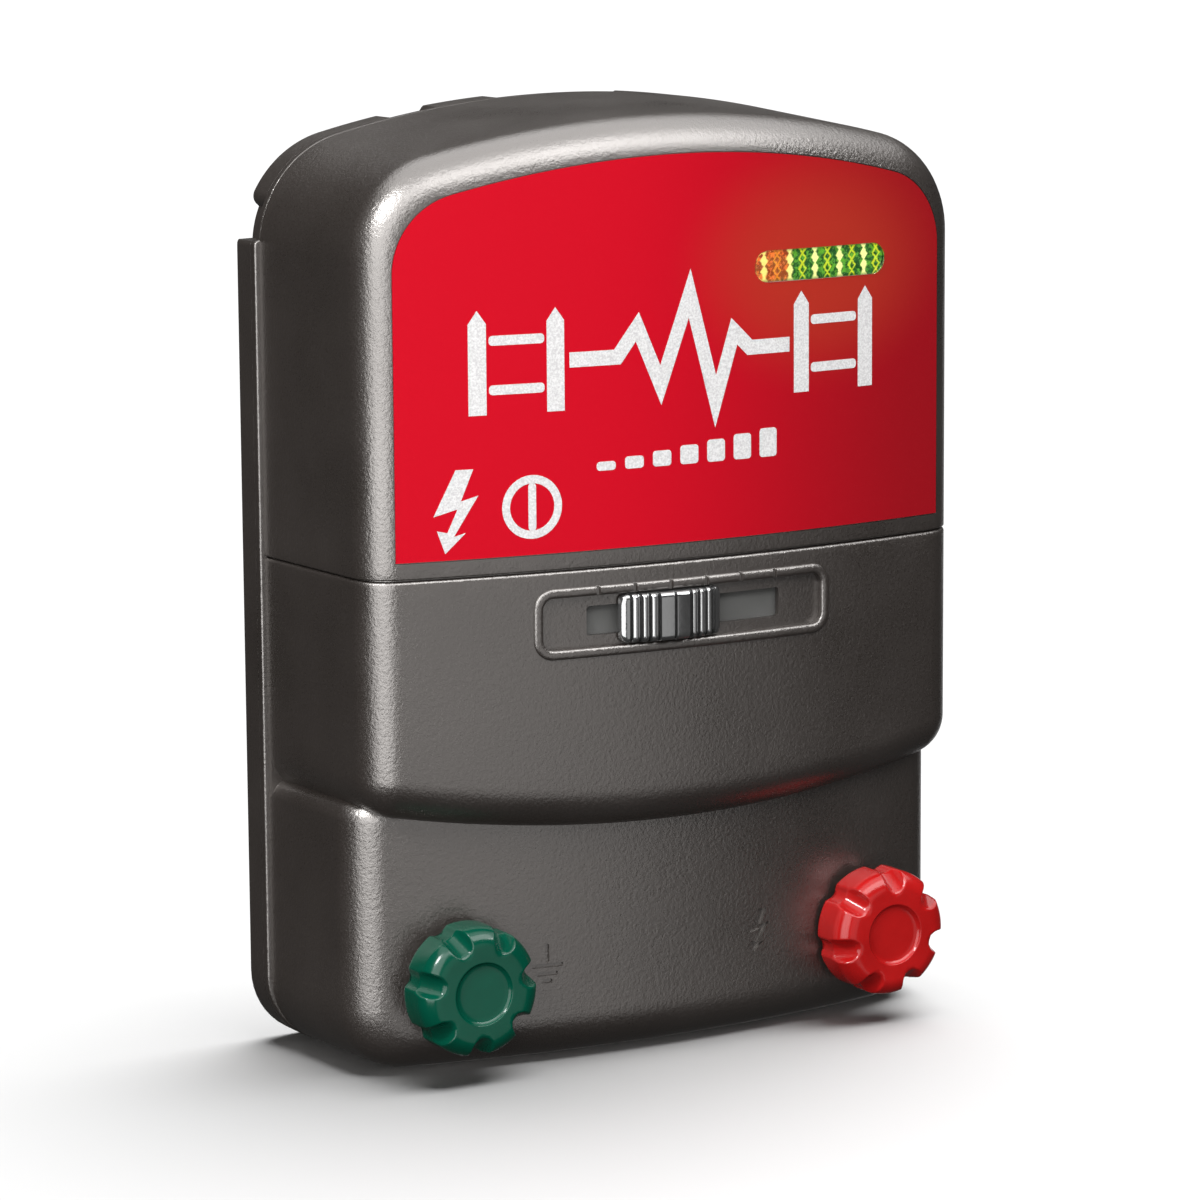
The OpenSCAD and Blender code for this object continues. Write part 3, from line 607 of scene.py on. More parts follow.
def led_cells():
    """Lit prism segments: orange and red at the left end, then green, with bright cores and cross lines."""
    s = Shader("led_cells", roughness=0.25, specular=0.4)
    pitch = BAR_LENGTH / 5.2 * MM
    x = s.math("SUBTRACT", s.axis("X"), (BAR_X - BAR_LENGTH / 2 + 3.6) * MM)
    z = s.math("ABSOLUTE", s.math("SUBTRACT", s.axis("Z"), BAR_Z * MM))
    phase = s.math("FRACT", s.math("ADD", s.math("DIVIDE", x, pitch), 0.5))
    off = s.math("ABSOLUTE", s.math("SUBTRACT", phase, 0.5))
    side = s.math("SUBTRACT", 0.5, off)
    row = s.math("PINGPONG", z, 0.0014)
    bulge = s.math("MULTIPLY", row, 75.0)
    core = s.spread(s.math("SUBTRACT", off, bulge), 0.0, 0.07, 1.0, 0.0, smooth=True)
    cross = s.spread(s.math("ABSOLUTE", s.math("SUBTRACT", side, s.math("MULTIPLY", row, 95.0))),
                     0.015, 0.06, 1.0, 0.0, smooth=True)
    ripple = s.noise(1.3, 3.0, 0.6)
    warm_end = s.spread(s.axis("X"), (BAR_X - 11.5) * MM, (BAR_X - 8.5) * MM, smooth=True)
    ground = s.mix(warm_end, (0.3, 0.012, 0.004), (0.004, 0.045, 0.006))
    sparkle = s.mix(warm_end, (0.9, 0.13, 0.01), (0.1, 0.34, 0.01))
    body = s.mix(s.spread(ripple, 0.47, 0.62), ground, sparkle)
    lined = s.mix(s.math("MULTIPLY", cross, 0.7), body, s.mix(warm_end, (1.0, 0.3, 0.02), (0.8, 0.85, 0.02)))
    lit = s.mix(core, lined, s.mix(warm_end, (1.0, 0.75, 0.2), (1.0, 1.0, 0.35)))
    edge = s.spread(z, 0.0033, 0.0042, 1.0, 0.25)
    s.colour(s.mix(s.spread(ripple, 0.3, 0.7), (0.01, 0.05, 0.01), (0.02, 0.08, 0.02)))
    s.link(s.mix(edge, (0.003, 0.01, 0.003), lit), s.shader.inputs["Emission Color"])
    s.set("Emission Strength", 1.15)
    s.roughness(ripple, 0.2, 0.35)
    s.bump((ripple, 0.2, 0.6))
    return s.material


def board_mask():
    """Circuit board: green mask over a faint pattern of copper tracks."""
    s = Shader("board_green", specular=0.5)
    tracks = s.node("ShaderNodeTexBrick")
    tracks.inputs["Scale"].default_value = 90.0
    tracks.inputs["Mortar Size"].default_value = 0.035
    s.link(s.place, tracks.inputs["Vector"])
    cloud = s.noise(9.0, 3.0)
    base = s.mix(s.spread(cloud, 0.3, 0.7), (0.008, 0.09, 0.035), (0.014, 0.13, 0.05))
    s.colour(s.mix(tracks.outputs["Fac"], base, (0.03, 0.2, 0.08)))
    s.roughness(cloud, 0.28, 0.4)
    s.bump((tracks.outputs["Fac"], 0.04, 0.5))
    return s.material


def wound(name, dark, light, pitch_mm):
    """Turns of wire that lie side by side round the limb."""
    s = Shader(name, roughness=0.35, metallic=0.6)
    turns = s.math("PINGPONG", s.axis("Z"), pitch_mm * 0.0005)
    level = s.spread(turns, 0.0, pitch_mm * 0.0005)
    s.colour(s.mix(level, dark, light))
    s.roughness(s.noise(2.0, 2.0), 0.3, 0.42)
    s.bump((level, 0.15, 0.9))
    return s.material


def stacked(name, dark, light, pitch_mm):
    """Thin varnished plates stacked along the depth."""
    s = Shader(name, roughness=0.45, metallic=0.5)
    plates = s.math("PINGPONG", s.axis("Y"), pitch_mm * 0.0005)
    level = s.spread(plates, 0.0, pitch_mm * 0.0002)
    s.colour(s.mix(level, dark, light))
    s.roughness(s.noise(3.0, 3.0), 0.4, 0.55)
    s.bump((level, 0.05, 0.7))
    return s.material


def floor_material():
    """Pale where it is looked at; dimmer in bounced light, so that the case keeps its dark underside."""
    s = Shader("floor_pale", roughness=0.7, specular=0.1)
    seen = s.node("ShaderNodeLightPath").outputs["Is Camera Ray"]
    s.colour(s.mix(seen, (0.16, 0.16, 0.16), (0.73, 0.73, 0.73)))
    return s.material


CASE = grained_plastic("case_plastic", (0.009, 0.0068, 0.0056), (0.0135, 0.0104, 0.0088))
LABEL = label_film()
PRINT = print_white()
SEAL = moulded("seal_rubber", (0.012, 0.012, 0.012), (0.02, 0.02, 0.02), (0.6, 0.75), 0.3)
LENS = lens_clear()
LEDS = led_cells()
BOARD = board_mask()
SLIDER = moulded("slider_plastic", (0.016, 0.016, 0.016), (0.024, 0.024, 0.024), (0.13, 0.2), 1.0, ior=2.0)
STRIP = moulded("strip_plastic", (0.05, 0.05, 0.048), (0.062, 0.062, 0.06), (0.4, 0.5), 0.3)
BRASS = metal("contact_brass", (0.62, 0.44, 0.17), (0.8, 0.6, 0.27))
GREEN = moulded("green_plastic", (0.0, 0.029, 0.0165), (0.0, 0.038, 0.022), (0.15, 0.21), 0.26, 0.006, 0.6)
RED = moulded("red_plastic", (0.19, 0.003, 0.003), (0.25, 0.005, 0.005), (0.15, 0.21), 0.32, 0.006, 0.6)
STEEL = metal("plated_steel", (0.5, 0.5, 0.49), (0.66, 0.66, 0.64))
INSULATION = moulded("lead_insulation", (0.3, 0.015, 0.012), (0.4, 0.025, 0.02), (0.4, 0.5))
SLEEVE = moulded("capacitor_sleeve", (0.012, 0.018, 0.06), (0.02, 0.028, 0.085), (0.2, 0.3))
BLACK = moulded("black_plastic", (0.014, 0.014, 0.014), (0.024, 0.024, 0.024), (0.35, 0.5))
ALUMINIUM = metal("sink_aluminium", (0.6, 0.61, 0.62), (0.74, 0.75, 0.76), (0.3, 0.45))
GLASS = moulded("fuse_glass", (0.6, 0.66, 0.66), (0.75, 0.8, 0.8), (0.05, 0.1))
CORE = stacked("core_steel", (0.05, 0.05, 0.055), (0.12, 0.12, 0.125), 1.0)
BOBBIN = moulded("bobbin_plastic", (0.6, 0.56, 0.45), (0.7, 0.66, 0.55), (0.4, 0.5))
COPPER = wound("winding_copper", (0.16, 0.05, 0.02), (0.5, 0.2, 0.07), 0.9)
SLOT_MATERIALS = {
    "case_plastic": CASE, "label_film": LABEL, "seal_rubber": SEAL, "lens_clear": LENS, "led_glow": LEDS,
    "board_green": BOARD, "slider_plastic": SLIDER, "strip_plastic": STRIP, "contact_brass": BRASS,
    "green_plastic": GREEN, "red_plastic": RED, "plated_steel": STEEL, "lead_insulation": INSULATION,
    "capacitor_sleeve": SLEEVE, "black_plastic": BLACK, "sink_aluminium": ALUMINIUM, "fuse_glass": GLASS,
    "core_steel": CORE, "bobbin_plastic": BOBBIN, "winding_copper": COPPER}


def dress_cad_nodes():
    """Gives every CAD node the procedural material of its slot."""
    for part in frame["record"]["subparts"]:
        node = frame["nodes"].get(part["node"])
        if node is None:
            continue
        node.data.materials.clear()
        node.data.materials.append(SLOT_MATERIALS[part["material_slot"]])
        node.data.polygons.foreach_set("material_index", [0] * len(node.data.polygons))


# ---- front covers ----
def body_solid(stand_off, back=0.0):
    """The bowed body; stand_off is 0 for the outer skin and negative inside it."""
    front = arched_path(HALF - TAPER, ARCH_R - TAPER, CORNER_R - TAPER, EDGE_R, BELLY_SIDE_Z, BELLY_RISE)
    rear = arched_path(HALF, ARCH_R, CORNER_R, EDGE_R, BELLY_SIDE_Z, 0.0)
    return blended_skin("body", front, rear, EDGE_R, EDGE_R + stand_off, BOW_R, BOW_Y, Y_JOINT + back)


def foot_path(half):
    """Centre path of the foot: rounded bottom corners and sides that run up past its top."""
    side = half - FOOT_EDGE_R
    r = FOOT_CORNER_R - FOOT_EDGE_R
    right = [(x, FOOT_EDGE_R, 0.0, -1.0) for x in np.linspace(0, side - r, 31)]
    for t in np.linspace(0, 1, 10)[1:]:
        a = -math.pi / 2 * (1 - t)
        right.append((side - r + r * math.cos(a), FOOT_CORNER_R + r * math.sin(a), math.cos(a), math.sin(a)))
    right += [(side, z, 1.0, 0.0) for z in np.linspace(FOOT_CORNER_R, 88, 25)[1:]]
    right += [(side * (1 - t), 88.0, 0.0, 1.0) for t in np.linspace(0, 1, 13)[1:]]
    return half_to_loop(right)


def foot_solid(stand_off, top, back=0.0, lip=0.0):
    obj = blended_skin("foot", foot_path(FOOT_FRONT_HALF), foot_path(FOOT_HALF), FOOT_EDGE_R,
                       FOOT_EDGE_R + stand_off, FOOT_BOW_R, FOOT_BOW_Y, Y_JOINT + back)
    return cut_level(obj, top, False, lip)


def bar_loop(grow=0.0):
    height = BAR_HEIGHT + 2 * grow
    return rounded_rect(BAR_X, BAR_Z, BAR_LENGTH + 2 * grow, height, height / 2 - 0.01, 13)


def label_loop(grow=0.0):
    path = arched_path(LABEL_HALF + grow, LABEL_ARCH_R + grow, LABEL_CORNER_R + grow, 0.0,
                       LABEL_BOTTOM - grow, 0.0)
    return distinct([tuple(p) for p in path[:, :2]])


def upper_cover():
    cover = cut_level(body_solid(0.0), SEAM_Z + 0.3, True, 0.45)
    tongue_room = cut_level(body_solid(-1.1, 1.0), SEAM_Z + 2.8, False, 0)
    boolean(cover, [body_solid(-WALL, 2.0), tongue_room,
                    wrapped("tool", [label_loop(0.28)], bow_at, -3, LABEL_DEPTH),
                    wrapped("tool", [bar_loop(0.12)], bow_at, -3, 7, 1.5)])
    cover.name = "upper_cover_shell"
    return finish_piece(cover, CASE, "case", ["upper_front_cover"])


def recess_loop(grow=0.0):
    return rounded_rect(SELECTOR_X, SELECTOR_Z, RECESS_LENGTH + 2 * grow, RECESS_HEIGHT + 2 * grow,
                        RECESS_R + grow, 10)


def tick_x(index):
    return SELECTOR_X + (index - (POSITIONS - 1) / 2) * STEP


def ridge():
    """Half-round rib round the recess, with a notch above each selector position."""
    path = distinct(recess_loop(RIDGE_WIDTH / 2))
    dense = []
    ticks = [tick_x(i) for i in range(POSITIONS)]
    notch_edges = [tick + d for tick in ticks for d in (-0.62, -0.36, 0.36, 0.62)]
    for i, p in enumerate(path):
        q = path[(i + 1) % len(path)]
        dense.append(p)
        length = math.dist(p, q)
        parts = math.ceil(length / 2.0)
        stops = [k / parts for k in range(1, parts)]
        if p[1] > SELECTOR_Z and q[1] > SELECTOR_Z and abs(p[1] - q[1]) < 1e-6:
            stops += [(x - p[0]) / (q[0] - p[0]) for x in notch_edges]
        dense += [(p[0] + (q[0] - p[0]) * t, p[1] + (q[1] - p[1]) * t) for t in sorted(stops) if 0 < t < 1]
    rings = []
    count = len(dense)
    for i, (x, z) in enumerate(dense):
        before, after = dense[i - 1], dense[(i + 1) % count]
        tangent = np.array([after[0] - before[0], after[1] - before[1]])
        tangent /= np.linalg.norm(tangent)
        outward = np.array([tangent[1], -tangent[0]])
        notched = z > SELECTOR_Z + RECESS_HEIGHT / 2 and any(abs(x - tick) < 0.4 for tick in ticks)
        height = RIDGE_HEIGHT * (0.12 if notched else 1.0)
        ring = []
        for a in np.linspace(0, math.pi, 11):
            across = RIDGE_WIDTH / 2 * math.cos(a)
            px, pz = x + outward[0] * across, z + outward[1] * across
            rise = height * math.sin(a) ** 0.8
            ring.append((px, bow_at(px, -rise), pz))
        for across in (-RIDGE_WIDTH / 2, RIDGE_WIDTH / 2):
            px, pz = x + outward[0] * across, z + outward[1] * across
            ring.append((px, bow_at(px, RECESS_DEPTH + 0.6), pz))
        rings.append(ring)
    return ring_mesh("ridge", rings, closed=True)


def earth_symbol():
    """Three bars under a stem, as loops of x and z."""
    cx = -39.0
    bars = [(9.3, 27.2), (6.2, 24.9), (2.9, 22.9)]
    loops = [rounded_rect(cx, z, w, 1.15, 0.5, 4) for w, z in bars]
    loops.append(rounded_rect(cx, 30.6, 1.15, 5.2, 0.5, 4))
    return loops


def bolt_loop(cx, cz, size):
    """Generic lightning arrow."""
    shape = [(0.08, 0.5), (0.3, 0.5), (0.14, 0.12), (0.36, 0.18), (0.05, -0.3), (0.2, -0.26), (-0.06, -0.5),
             (-0.16, -0.22), (-0.03, -0.25), (0.1, 0.03), (-0.2, -0.05)]
    return [(cx + x * size, cz + z * size) for x, z in shape]


def foot_seat(x):
    base = foot_at(x, 6)
    length = base - (Y_FOOT + STUD_SEAT)
    return revolve("seat", [(0, 0), (12, 0), (12, length - 0.7), (11.8, length - 0.25), (11.3, length),
                            (0, length)], (x, base, TERMINAL_Z), 96)


def lower_cover():
    cover = cut_level(body_solid(0.0), SEAM_Z - 0.1, False, 1.0)
    tongue = cut_level(cut_level(body_solid(-1.35), SEAM_Z - 3, True, 0), SEAM_Z + 2.2, False, 0)
    foot = foot_solid(0.0, FOOT_TOP, 0.0, FOOT_SHOULDER)
    boolean(cover, [tongue, foot], "UNION")
    boolean(cover, [body_solid(-WALL, 2.0), foot_solid(-WALL, FOOT_TOP - 7, 2.0),
                    foot_solid(-WALL - 4.5, FOOT_TOP + 6, 2.0),
                    wrapped("tool", [recess_loop()], bow_at, -3, RECESS_DEPTH)])
    # small webs close the crease between body and foot at the rear rim
    webs = [box_tool((min(s * 87, s * 94.9), Y_JOINT - 1.8, 69), (max(s * 87, s * 94.9), Y_JOINT, 85))
            for s in (-1, 1)]
    boolean(cover, [ridge()] + [foot_seat(s * TERMINAL_X) for s in (-1, 1)] + webs, "UNION")
    slot = rounded_rect(SELECTOR_X, SELECTOR_Z, SLOT_LENGTH, SLOT_HEIGHT, 0.9, 5)
    strip_room = rounded_rect(0, SELECTOR_Z, 176, 13.4, 0.5, 3)
    tools = [wrapped("tool", [slot], bow_at, -3, 4.5),
             wrapped("tool", [strip_room], bow_at, WALL - 0.05, 5.1)]
    tools += [rod_tool(s * TERMINAL_X, TERMINAL_Z, 4.1, Y_FOOT - 6, Y_FOOT + 12) for s in (-1, 1)]
    tools += [wrapped("tool", [loop], foot_at, -2, ENGRAVING, 1.0)
              for loop in earth_symbol() + [bolt_loop(26.5, 29, 12)]]
    inlet = [(0, -1), (8.25, -1), (8.25, 2.0), (6.1, 2.0), (6.1, 8), (0, 8)]
    tools += [revolve("tool", inlet, (INLET_X, INLET_Y, 0), 64, "Z")]
    boolean(cover, tools)
    cover.name = "lower_cover_shell"
    return finish_piece(cover, CASE, "case", ["lower_front_cover"])


def label():
    film = wrapped("label_panel", [label_loop()], bow_at, 0.0, LABEL_DEPTH - 0.02)
    boolean(film, [wrapped("tool", [bar_loop(0.1)], bow_at, -1, 1, 1.5)])
    return finish_piece(film, LABEL, "case", ["front_label"])


def wave_loop(points, width):
    """Closed outline of a polyline of the given width, with mitred joints."""
    upper, lower = [], []
    for i, p in enumerate(points):
        before = points[max(i - 1, 0)]
        after = points[min(i + 1, len(points) - 1)]
        d1 = np.array(p) - np.array(before) if i else np.array(after) - np.array(p)
        d2 = np.array(after) - np.array(p) if i < len(points) - 1 else d1
        d1, d2 = d1 / np.linalg.norm(d1), d2 / np.linalg.norm(d2)
        n1, n2 = np.array([-d1[1], d1[0]]), np.array([-d2[1], d2[0]])
        mitre = (n1 + n2) / (1 + n1 @ n2)
        upper.append(tuple(np.array(p) + mitre * width / 2))
        lower.append(tuple(np.array(p) - mitre * width / 2))
    return upper + lower[::-1]


def label_prints():
    """Generic pictograms: a pulse along a post-and-wire fence, a row of marks and a plain lightning sign."""
    loops = []
    posts = [-62, -40, 36, 58]
    for x in posts:
        loops.append([(x - 2.5, 179), (x + 2.5, 179), (x + 2.5, 203), (x, 206.5), (x - 2.5, 203)])
    for z in (185.5, 198.5):
        for a, b in ((-62, -40), (36, 58)):
            loops.append(rounded_rect((a + b) / 2, z, b - a - 6.4, 2.6, 1.0, 4))
    pulse = [(-36, 192.3), (-22, 192.3), (-16, 200), (-9, 184), (0, 208), (8, 178.5), (14, 197), (19, 192.3),
             (32, 192.3)]
    loops.append(wave_loop(pulse, 4.0))
    loops += [rounded_rect(-25.5 + 8.4 * i, 163.5 + 0.45 * i, 5.6, 2.4 + 0.9 * i, 0.9, 4) for i in range(7)]
    loops.append(bolt_loop(-70, 154, 22))
    loops.append(rounded_rect(-47, 154, 17, 17, 8.49, 10))
    loops.append(rounded_rect(-47, 154, 2.2, 12.8, 1.0, 5))
    pieces = [wrapped("print", [loop], bow_at, -0.05, 0.05, 2.0) for loop in loops]
    hole = wrapped("tool", [rounded_rect(-47, 154, 12.6, 12.6, 6.29, 10)], bow_at, -1, 1, 2.0)
    boolean(pieces[-2], [hole])
    return finish_piece(joined("label_pictograms", pieces), PRINT, "case")


# ---- light bar ----
def light_bar():
    lens = wrapped("light_bar_window", [bar_loop()], bow_at, -0.22, 0.75, 1.5)
    bevel(lens, 0.18, 2, 50)
    finish_piece(lens, LENS, "case", ["light_bar_lens"])
    # prism cells behind the window: small pyramids in rows
    columns, rows = 52, 10
    half_l, half_h = BAR_LENGTH / 2 + 0.05, BAR_HEIGHT / 2 + 0.05
    top = []
    for i in range(columns + 1):
        x = BAR_X - half_l + 2 * half_l * i / columns
        inset = max(0.0, abs(x - BAR_X) - (half_l - half_h))
        reach = math.sqrt(max(0.02, half_h ** 2 - inset ** 2))
        for j in range(rows + 1):
            z = BAR_Z + reach * (2 * j / rows - 1)
            peak = 0.45 if (i + j) % 2 else 0.0
            top.append((x, bow_at(x, 1.5 - peak), z))
    bottom = [(x, bow_at(x, 2.6), z) for x, _, z in top]
    cells = grid_solid("light_bar_segments", top, bottom, columns, rows)
    finish_piece(cells, LEDS, "case", ["light_bar_leds"], smooth=8)


# ---- selector ----
def slider():
    """Ribbed thumb slider: a low arched roof cut by grooves, with rounded ends and edges."""
    width, height, crown_r, edge = 31.0, 13.2, 47.5, 1.7
    crown_y = Y_FRONT - 3.2
    first, pitch, groove_half = 4.9, 2.6, 0.52
    grooves = [s * (first + i * pitch) for s in (-1, 1) for i in range(4)]
    ribs = [s * (first + (i + 0.5) * pitch) for s in (-1, 1) for i in range(3)]

    def groove(off, half, depth):
        return depth * min(1.0, max(0.0, (half - abs(off)) / 0.16))

    def roof(x):
        y = crown_y + crown_r - math.sqrt(crown_r ** 2 - x * x)
        cut = 0.0
        for g in grooves:
            cut = max(cut, groove(x - g, groove_half, 1.7))
        for r in ribs:
            off = abs(x - r) / (pitch / 2 - groove_half)
            if off < 1:
                cut = 0.42 * off * off
        return y + max(cut, groove(x, 0.42, 1.1))

    def rounding(distance):
        d = min(max(distance, 0.0), edge)
        return edge - math.sqrt(max(0.0, edge * edge - (edge - d) ** 2))

    xs = np.linspace(-width / 2, width / 2, 373)
    rows = 26
    base_y = Y_FRONT + 1.2
    rest_x = tick_x(REST_STEP)
    turn = math.asin(rest_x / BOW_R)
    top, bottom = [], []
    corner = 2.0
    for x in xs:
        over = max(0.0, abs(x) - (width / 2 - corner))
        reach = height / 2 - (corner - math.sqrt(max(0.0, corner ** 2 - over ** 2)))
        for j in range(rows + 1):
            t = math.sin(math.pi * (j / rows - 0.5))
            z = reach * t
            drop = rounding(reach - abs(z)) * 0.75 + rounding(width / 2 - abs(x)) * 0.6
            top.append((x, min(roof(x) + drop, base_y - 0.3), z + SELECTOR_Z))
            bottom.append((x, base_y, z + SELECTOR_Z))
    # the rest position lies on an arc about the axis of the bowed face
    c, s = math.cos(turn), math.sin(turn)

    def turned(points):
        return [(x * c - (y - BOW_Y) * s, x * s + (y - BOW_Y) * c + BOW_Y, z) for x, y, z in points]

    obj = grid_solid("selector_slider", turned(top), turned(bottom), len(xs) - 1, rows)
    return finish_piece(obj, SLIDER, "selector", ["selector_knob"], smooth=50)


# ---- terminals ----
def knob_profile():
    """Revolved outline, as (radius, distance from the base), from the insert round the outside and back."""
    length, dome = KNOB_LENGTH, KNOB_DOME
    p = [(INSERT_ROOM, 0.6), (INSERT_ROOM, 3.6), (12.0, 3.9), (12.0, 0.5), (12.3, 0.15), (12.8, 0.0)]
    p += [(r, 0.0) for r in (14.0, 15.5, 16.9)]
    p += [(17.3, 0.08), (17.56, 0.3), (KNOB_R, 0.65)]
    p += [(KNOB_R, h) for h in np.linspace(1.1, length - dome, 22)]
    for a in np.linspace(0, math.pi / 2, 23)[1:]:
        p.append((KNOB_R - dome + dome * math.cos(a), length - dome + dome * math.sin(a)))
    p += [(r, length) for r in (12.0, 11.2, 10.4, 9.6, 9.0)]
    for a in np.linspace(0, math.pi / 2, 6):
        p.append((8.75 - 0.3 * math.sin(a), length - 0.3 * (1 - math.cos(a))))
    p += [(8.1, length - 0.62), (7.8, length - 0.92), (7.55, length - 1.0)]
    p += [(r, length - 1.0) for r in (6.5, 5.0, 3.0, 1.0)]
    return p


def fluted_knob(name, x, phase_deg, material, body, node):
    """Seven scooped flutes are pressed into the revolved body; a smooth blend rounds their edges."""
    length, dome = KNOB_LENGTH, KNOB_DOME
    profile = np.array(knob_profile())
    radial, along = profile[:, 0], profile[:, 1]
    inward = np.zeros((len(profile), 2))
    for i, (r, h) in enumerate(profile):
        if h <= length - dome + 1e-6 and r > KNOB_R - 0.5:
            inward[i] = (-1, 0)
        elif r > KNOB_R - dome and h > length - dome:
            d = np.array([KNOB_R - dome - r, length - dome - h])
            inward[i] = d / np.linalg.norm(d)
        elif h > length - 1.5:
            inward[i] = (0, -1)
        else:
            inward[i] = (-0.6, 0.8) if r > 12.4 else (0, 0)
    segments = 434
    theta = np.linspace(0, 2 * math.pi, segments, endpoint=False)
    flute_r, centre_r, nose_r = 3.2, KNOB_R + 1.7, KNOB_R - 2.5
    turn_h, nose_h = length - dome - 1, length + 0.4
    half_turn = math.pi / KNOB_FLUTES
    spin = np.mod(theta - math.radians(phase_deg) + half_turn, 2 * half_turn) - half_turn
    blend = 0.55

    def segment_distance(px, pr, ph, a, b):
        """Distance of points from the line between a and b, both in the flute's own plane."""
        ab = b - a
        t = np.clip(((pr - a[0]) * ab[0] + (ph - a[1]) * ab[1]) / (ab @ ab), 0, 1)
        return np.sqrt(px ** 2 + (pr - a[0] - t * ab[0]) ** 2 + (ph - a[1] - t * ab[1]) ** 2)

    low, turn, nose = np.array([centre_r, -9.0]), np.array([centre_r, turn_h]), np.array([nose_r, nose_h])
    depth_low = np.zeros((len(profile), segments))
    depth_high = np.full((len(profile), segments), 5.0)
    cos_s, sin_s = np.cos(spin)[None, :], np.sin(spin)[None, :]
    for _ in range(34):
        t = (depth_low + depth_high) / 2
        r = radial[:, None] + inward[:, 0][:, None] * t
        h = along[:, None] + inward[:, 1][:, None] * t
        px, pr = r * sin_s, r * cos_s
        flute = np.minimum(segment_distance(px, pr, h, low, turn), segment_distance(px, pr, h, turn, nose))
        tool = flute_r - flute
        body_distance = -t
        gap = np.maximum(blend - np.abs(body_distance - tool), 0) / blend
        value = np.maximum(body_distance, tool) + gap * gap * blend / 4
        outside = value > 0
        depth_low = np.where(outside, t, depth_low)
        depth_high = np.where(outside, depth_high, t)
    depth = (depth_low + depth_high) / 2 * (np.linalg.norm(inward, axis=1) > 0)[:, None]
    r = radial[:, None] + inward[:, 0][:, None] * depth
    h = along[:, None] + inward[:, 1][:, None] * depth
    base_y = Y_FOOT + 2.6

    def circle(radius, height):
        return np.stack([x + radius * np.cos(theta), np.full(segments, base_y) - height,
                         TERMINAL_Z + radius * np.sin(theta)], 1)

    # the dish closes in a flat middle and the underside in the roof of the insert's socket
    rings = [circle(0.2, 10.31), circle(INSERT_ROOM, 10.31)]
    rings += [circle(r[i], h[i]) for i in range(len(profile))] + [circle(0.2, length - 1.0)]
    obj = ring_mesh(name, rings)
    return finish_piece(obj, material, body, [node], smooth=60)


def threaded_stud(name, x, node):
    """Machine stud with a helical thread, its flange and a chamfered tip."""
    low, high = node_box(node)
    tip, end = low[1], high[1]
    pitch, crest, root = THREAD_PITCH, THREAD_CREST_R, THREAD_ROOT_R
    segments, per_turn = 48, 8
    stations = int((end - tip) / pitch * per_turn)
    rings = []
    for k in range(stations + 1):
        y = tip + (end - tip) * k / stations
        ring = []
        for i in range(segments):
            a = 2 * math.pi * i / segments
            phase = ((y - tip) / pitch + i / segments) % 1.0
            wave = 1 - abs(2 * phase - 1)
            r = root + (crest - root) * min(1.0, 1.35 * wave)
            r = min(r, 3.2 + (y - tip) * 0.9, 3.2 + (end - y) * 0.9)
            ring.append((x + r * math.cos(a), y, TERMINAL_Z + r * math.sin(a)))
        rings.append(ring)
    rod = ring_mesh("rod", rings)
    flange = revolve("flange", disc_profile(9.5, 0, STUD_FLANGE, 0.3),
                     (x, Y_FOOT + STUD_SEAT, TERMINAL_Z), 72)
    return finish_piece(joined(name, [rod, flange]), STEEL, "case", [node])


def knurled_insert(name, x, base_y):
    """Bushing whose outside carries a fine straight knurl between two plain bands."""
    teeth, per_tooth = 36, 4
    # known fault, hidden inside the knob: the bore's first point belongs at the end of the profile.
    # As it is, a tapered groove takes the place of the far end's flat face.
    end, bore, chamfer = INSERT_LENGTH, STUD_BORE_R, 0.3
    profile = [(6.69, 0), (6.75, 0.9), (INSERT_R, 1.1), (INSERT_R, end - 1.1), (6.75, end - 0.9), (6.69, end)]
    profile += [(bore + chamfer, 0), (bore + chamfer, end), (bore, end - chamfer), (bore, chamfer)]
    rings = []
    for radius, along in profile:
        ring = []
        for i in range(teeth * per_tooth):
            a = 2 * math.pi * i / (teeth * per_tooth)
            r = radius - (0.24 * (i % per_tooth >= per_tooth // 2) if radius > 6.9 else 0.0)
            ring.append((x + r * math.cos(a), base_y - along, TERMINAL_Z + r * math.sin(a)))
        rings.append(ring)
    return ring_mesh(name, rings, closed=True)


def terminals():
    sides = (("ground", -TERMINAL_X, 12, GREEN, "green_plastic"),
             ("fence", TERMINAL_X, 37, RED, "red_plastic"))
    washer_back = Y_FOOT + STUD_SEAT - STUD_FLANGE - WASHER_GAP
    for side, x, phase, material, slot in sides:
        turn, clamp = side + "_knob_turn", side + "_clamp"
        fluted_knob(side + "_knob_fluted", x, phase, material, turn, side + "_knob")
        threaded_stud(side + "_stud_threaded", x, side + "_stud")
        washer = revolve(side + "_washer_plate", washer_profile(STUD_BORE_R, 10.5, 0, WASHER_THICK, 0.25),
                         (x, washer_back, TERMINAL_Z), 96)
        finish_piece(washer, STEEL, clamp, [side + "_washer"])
        insert = knurled_insert(side + "_insert_knurled", x, washer_back - WASHER_THICK)
        finish_piece(insert, BRASS, turn, [side + "_insert"])


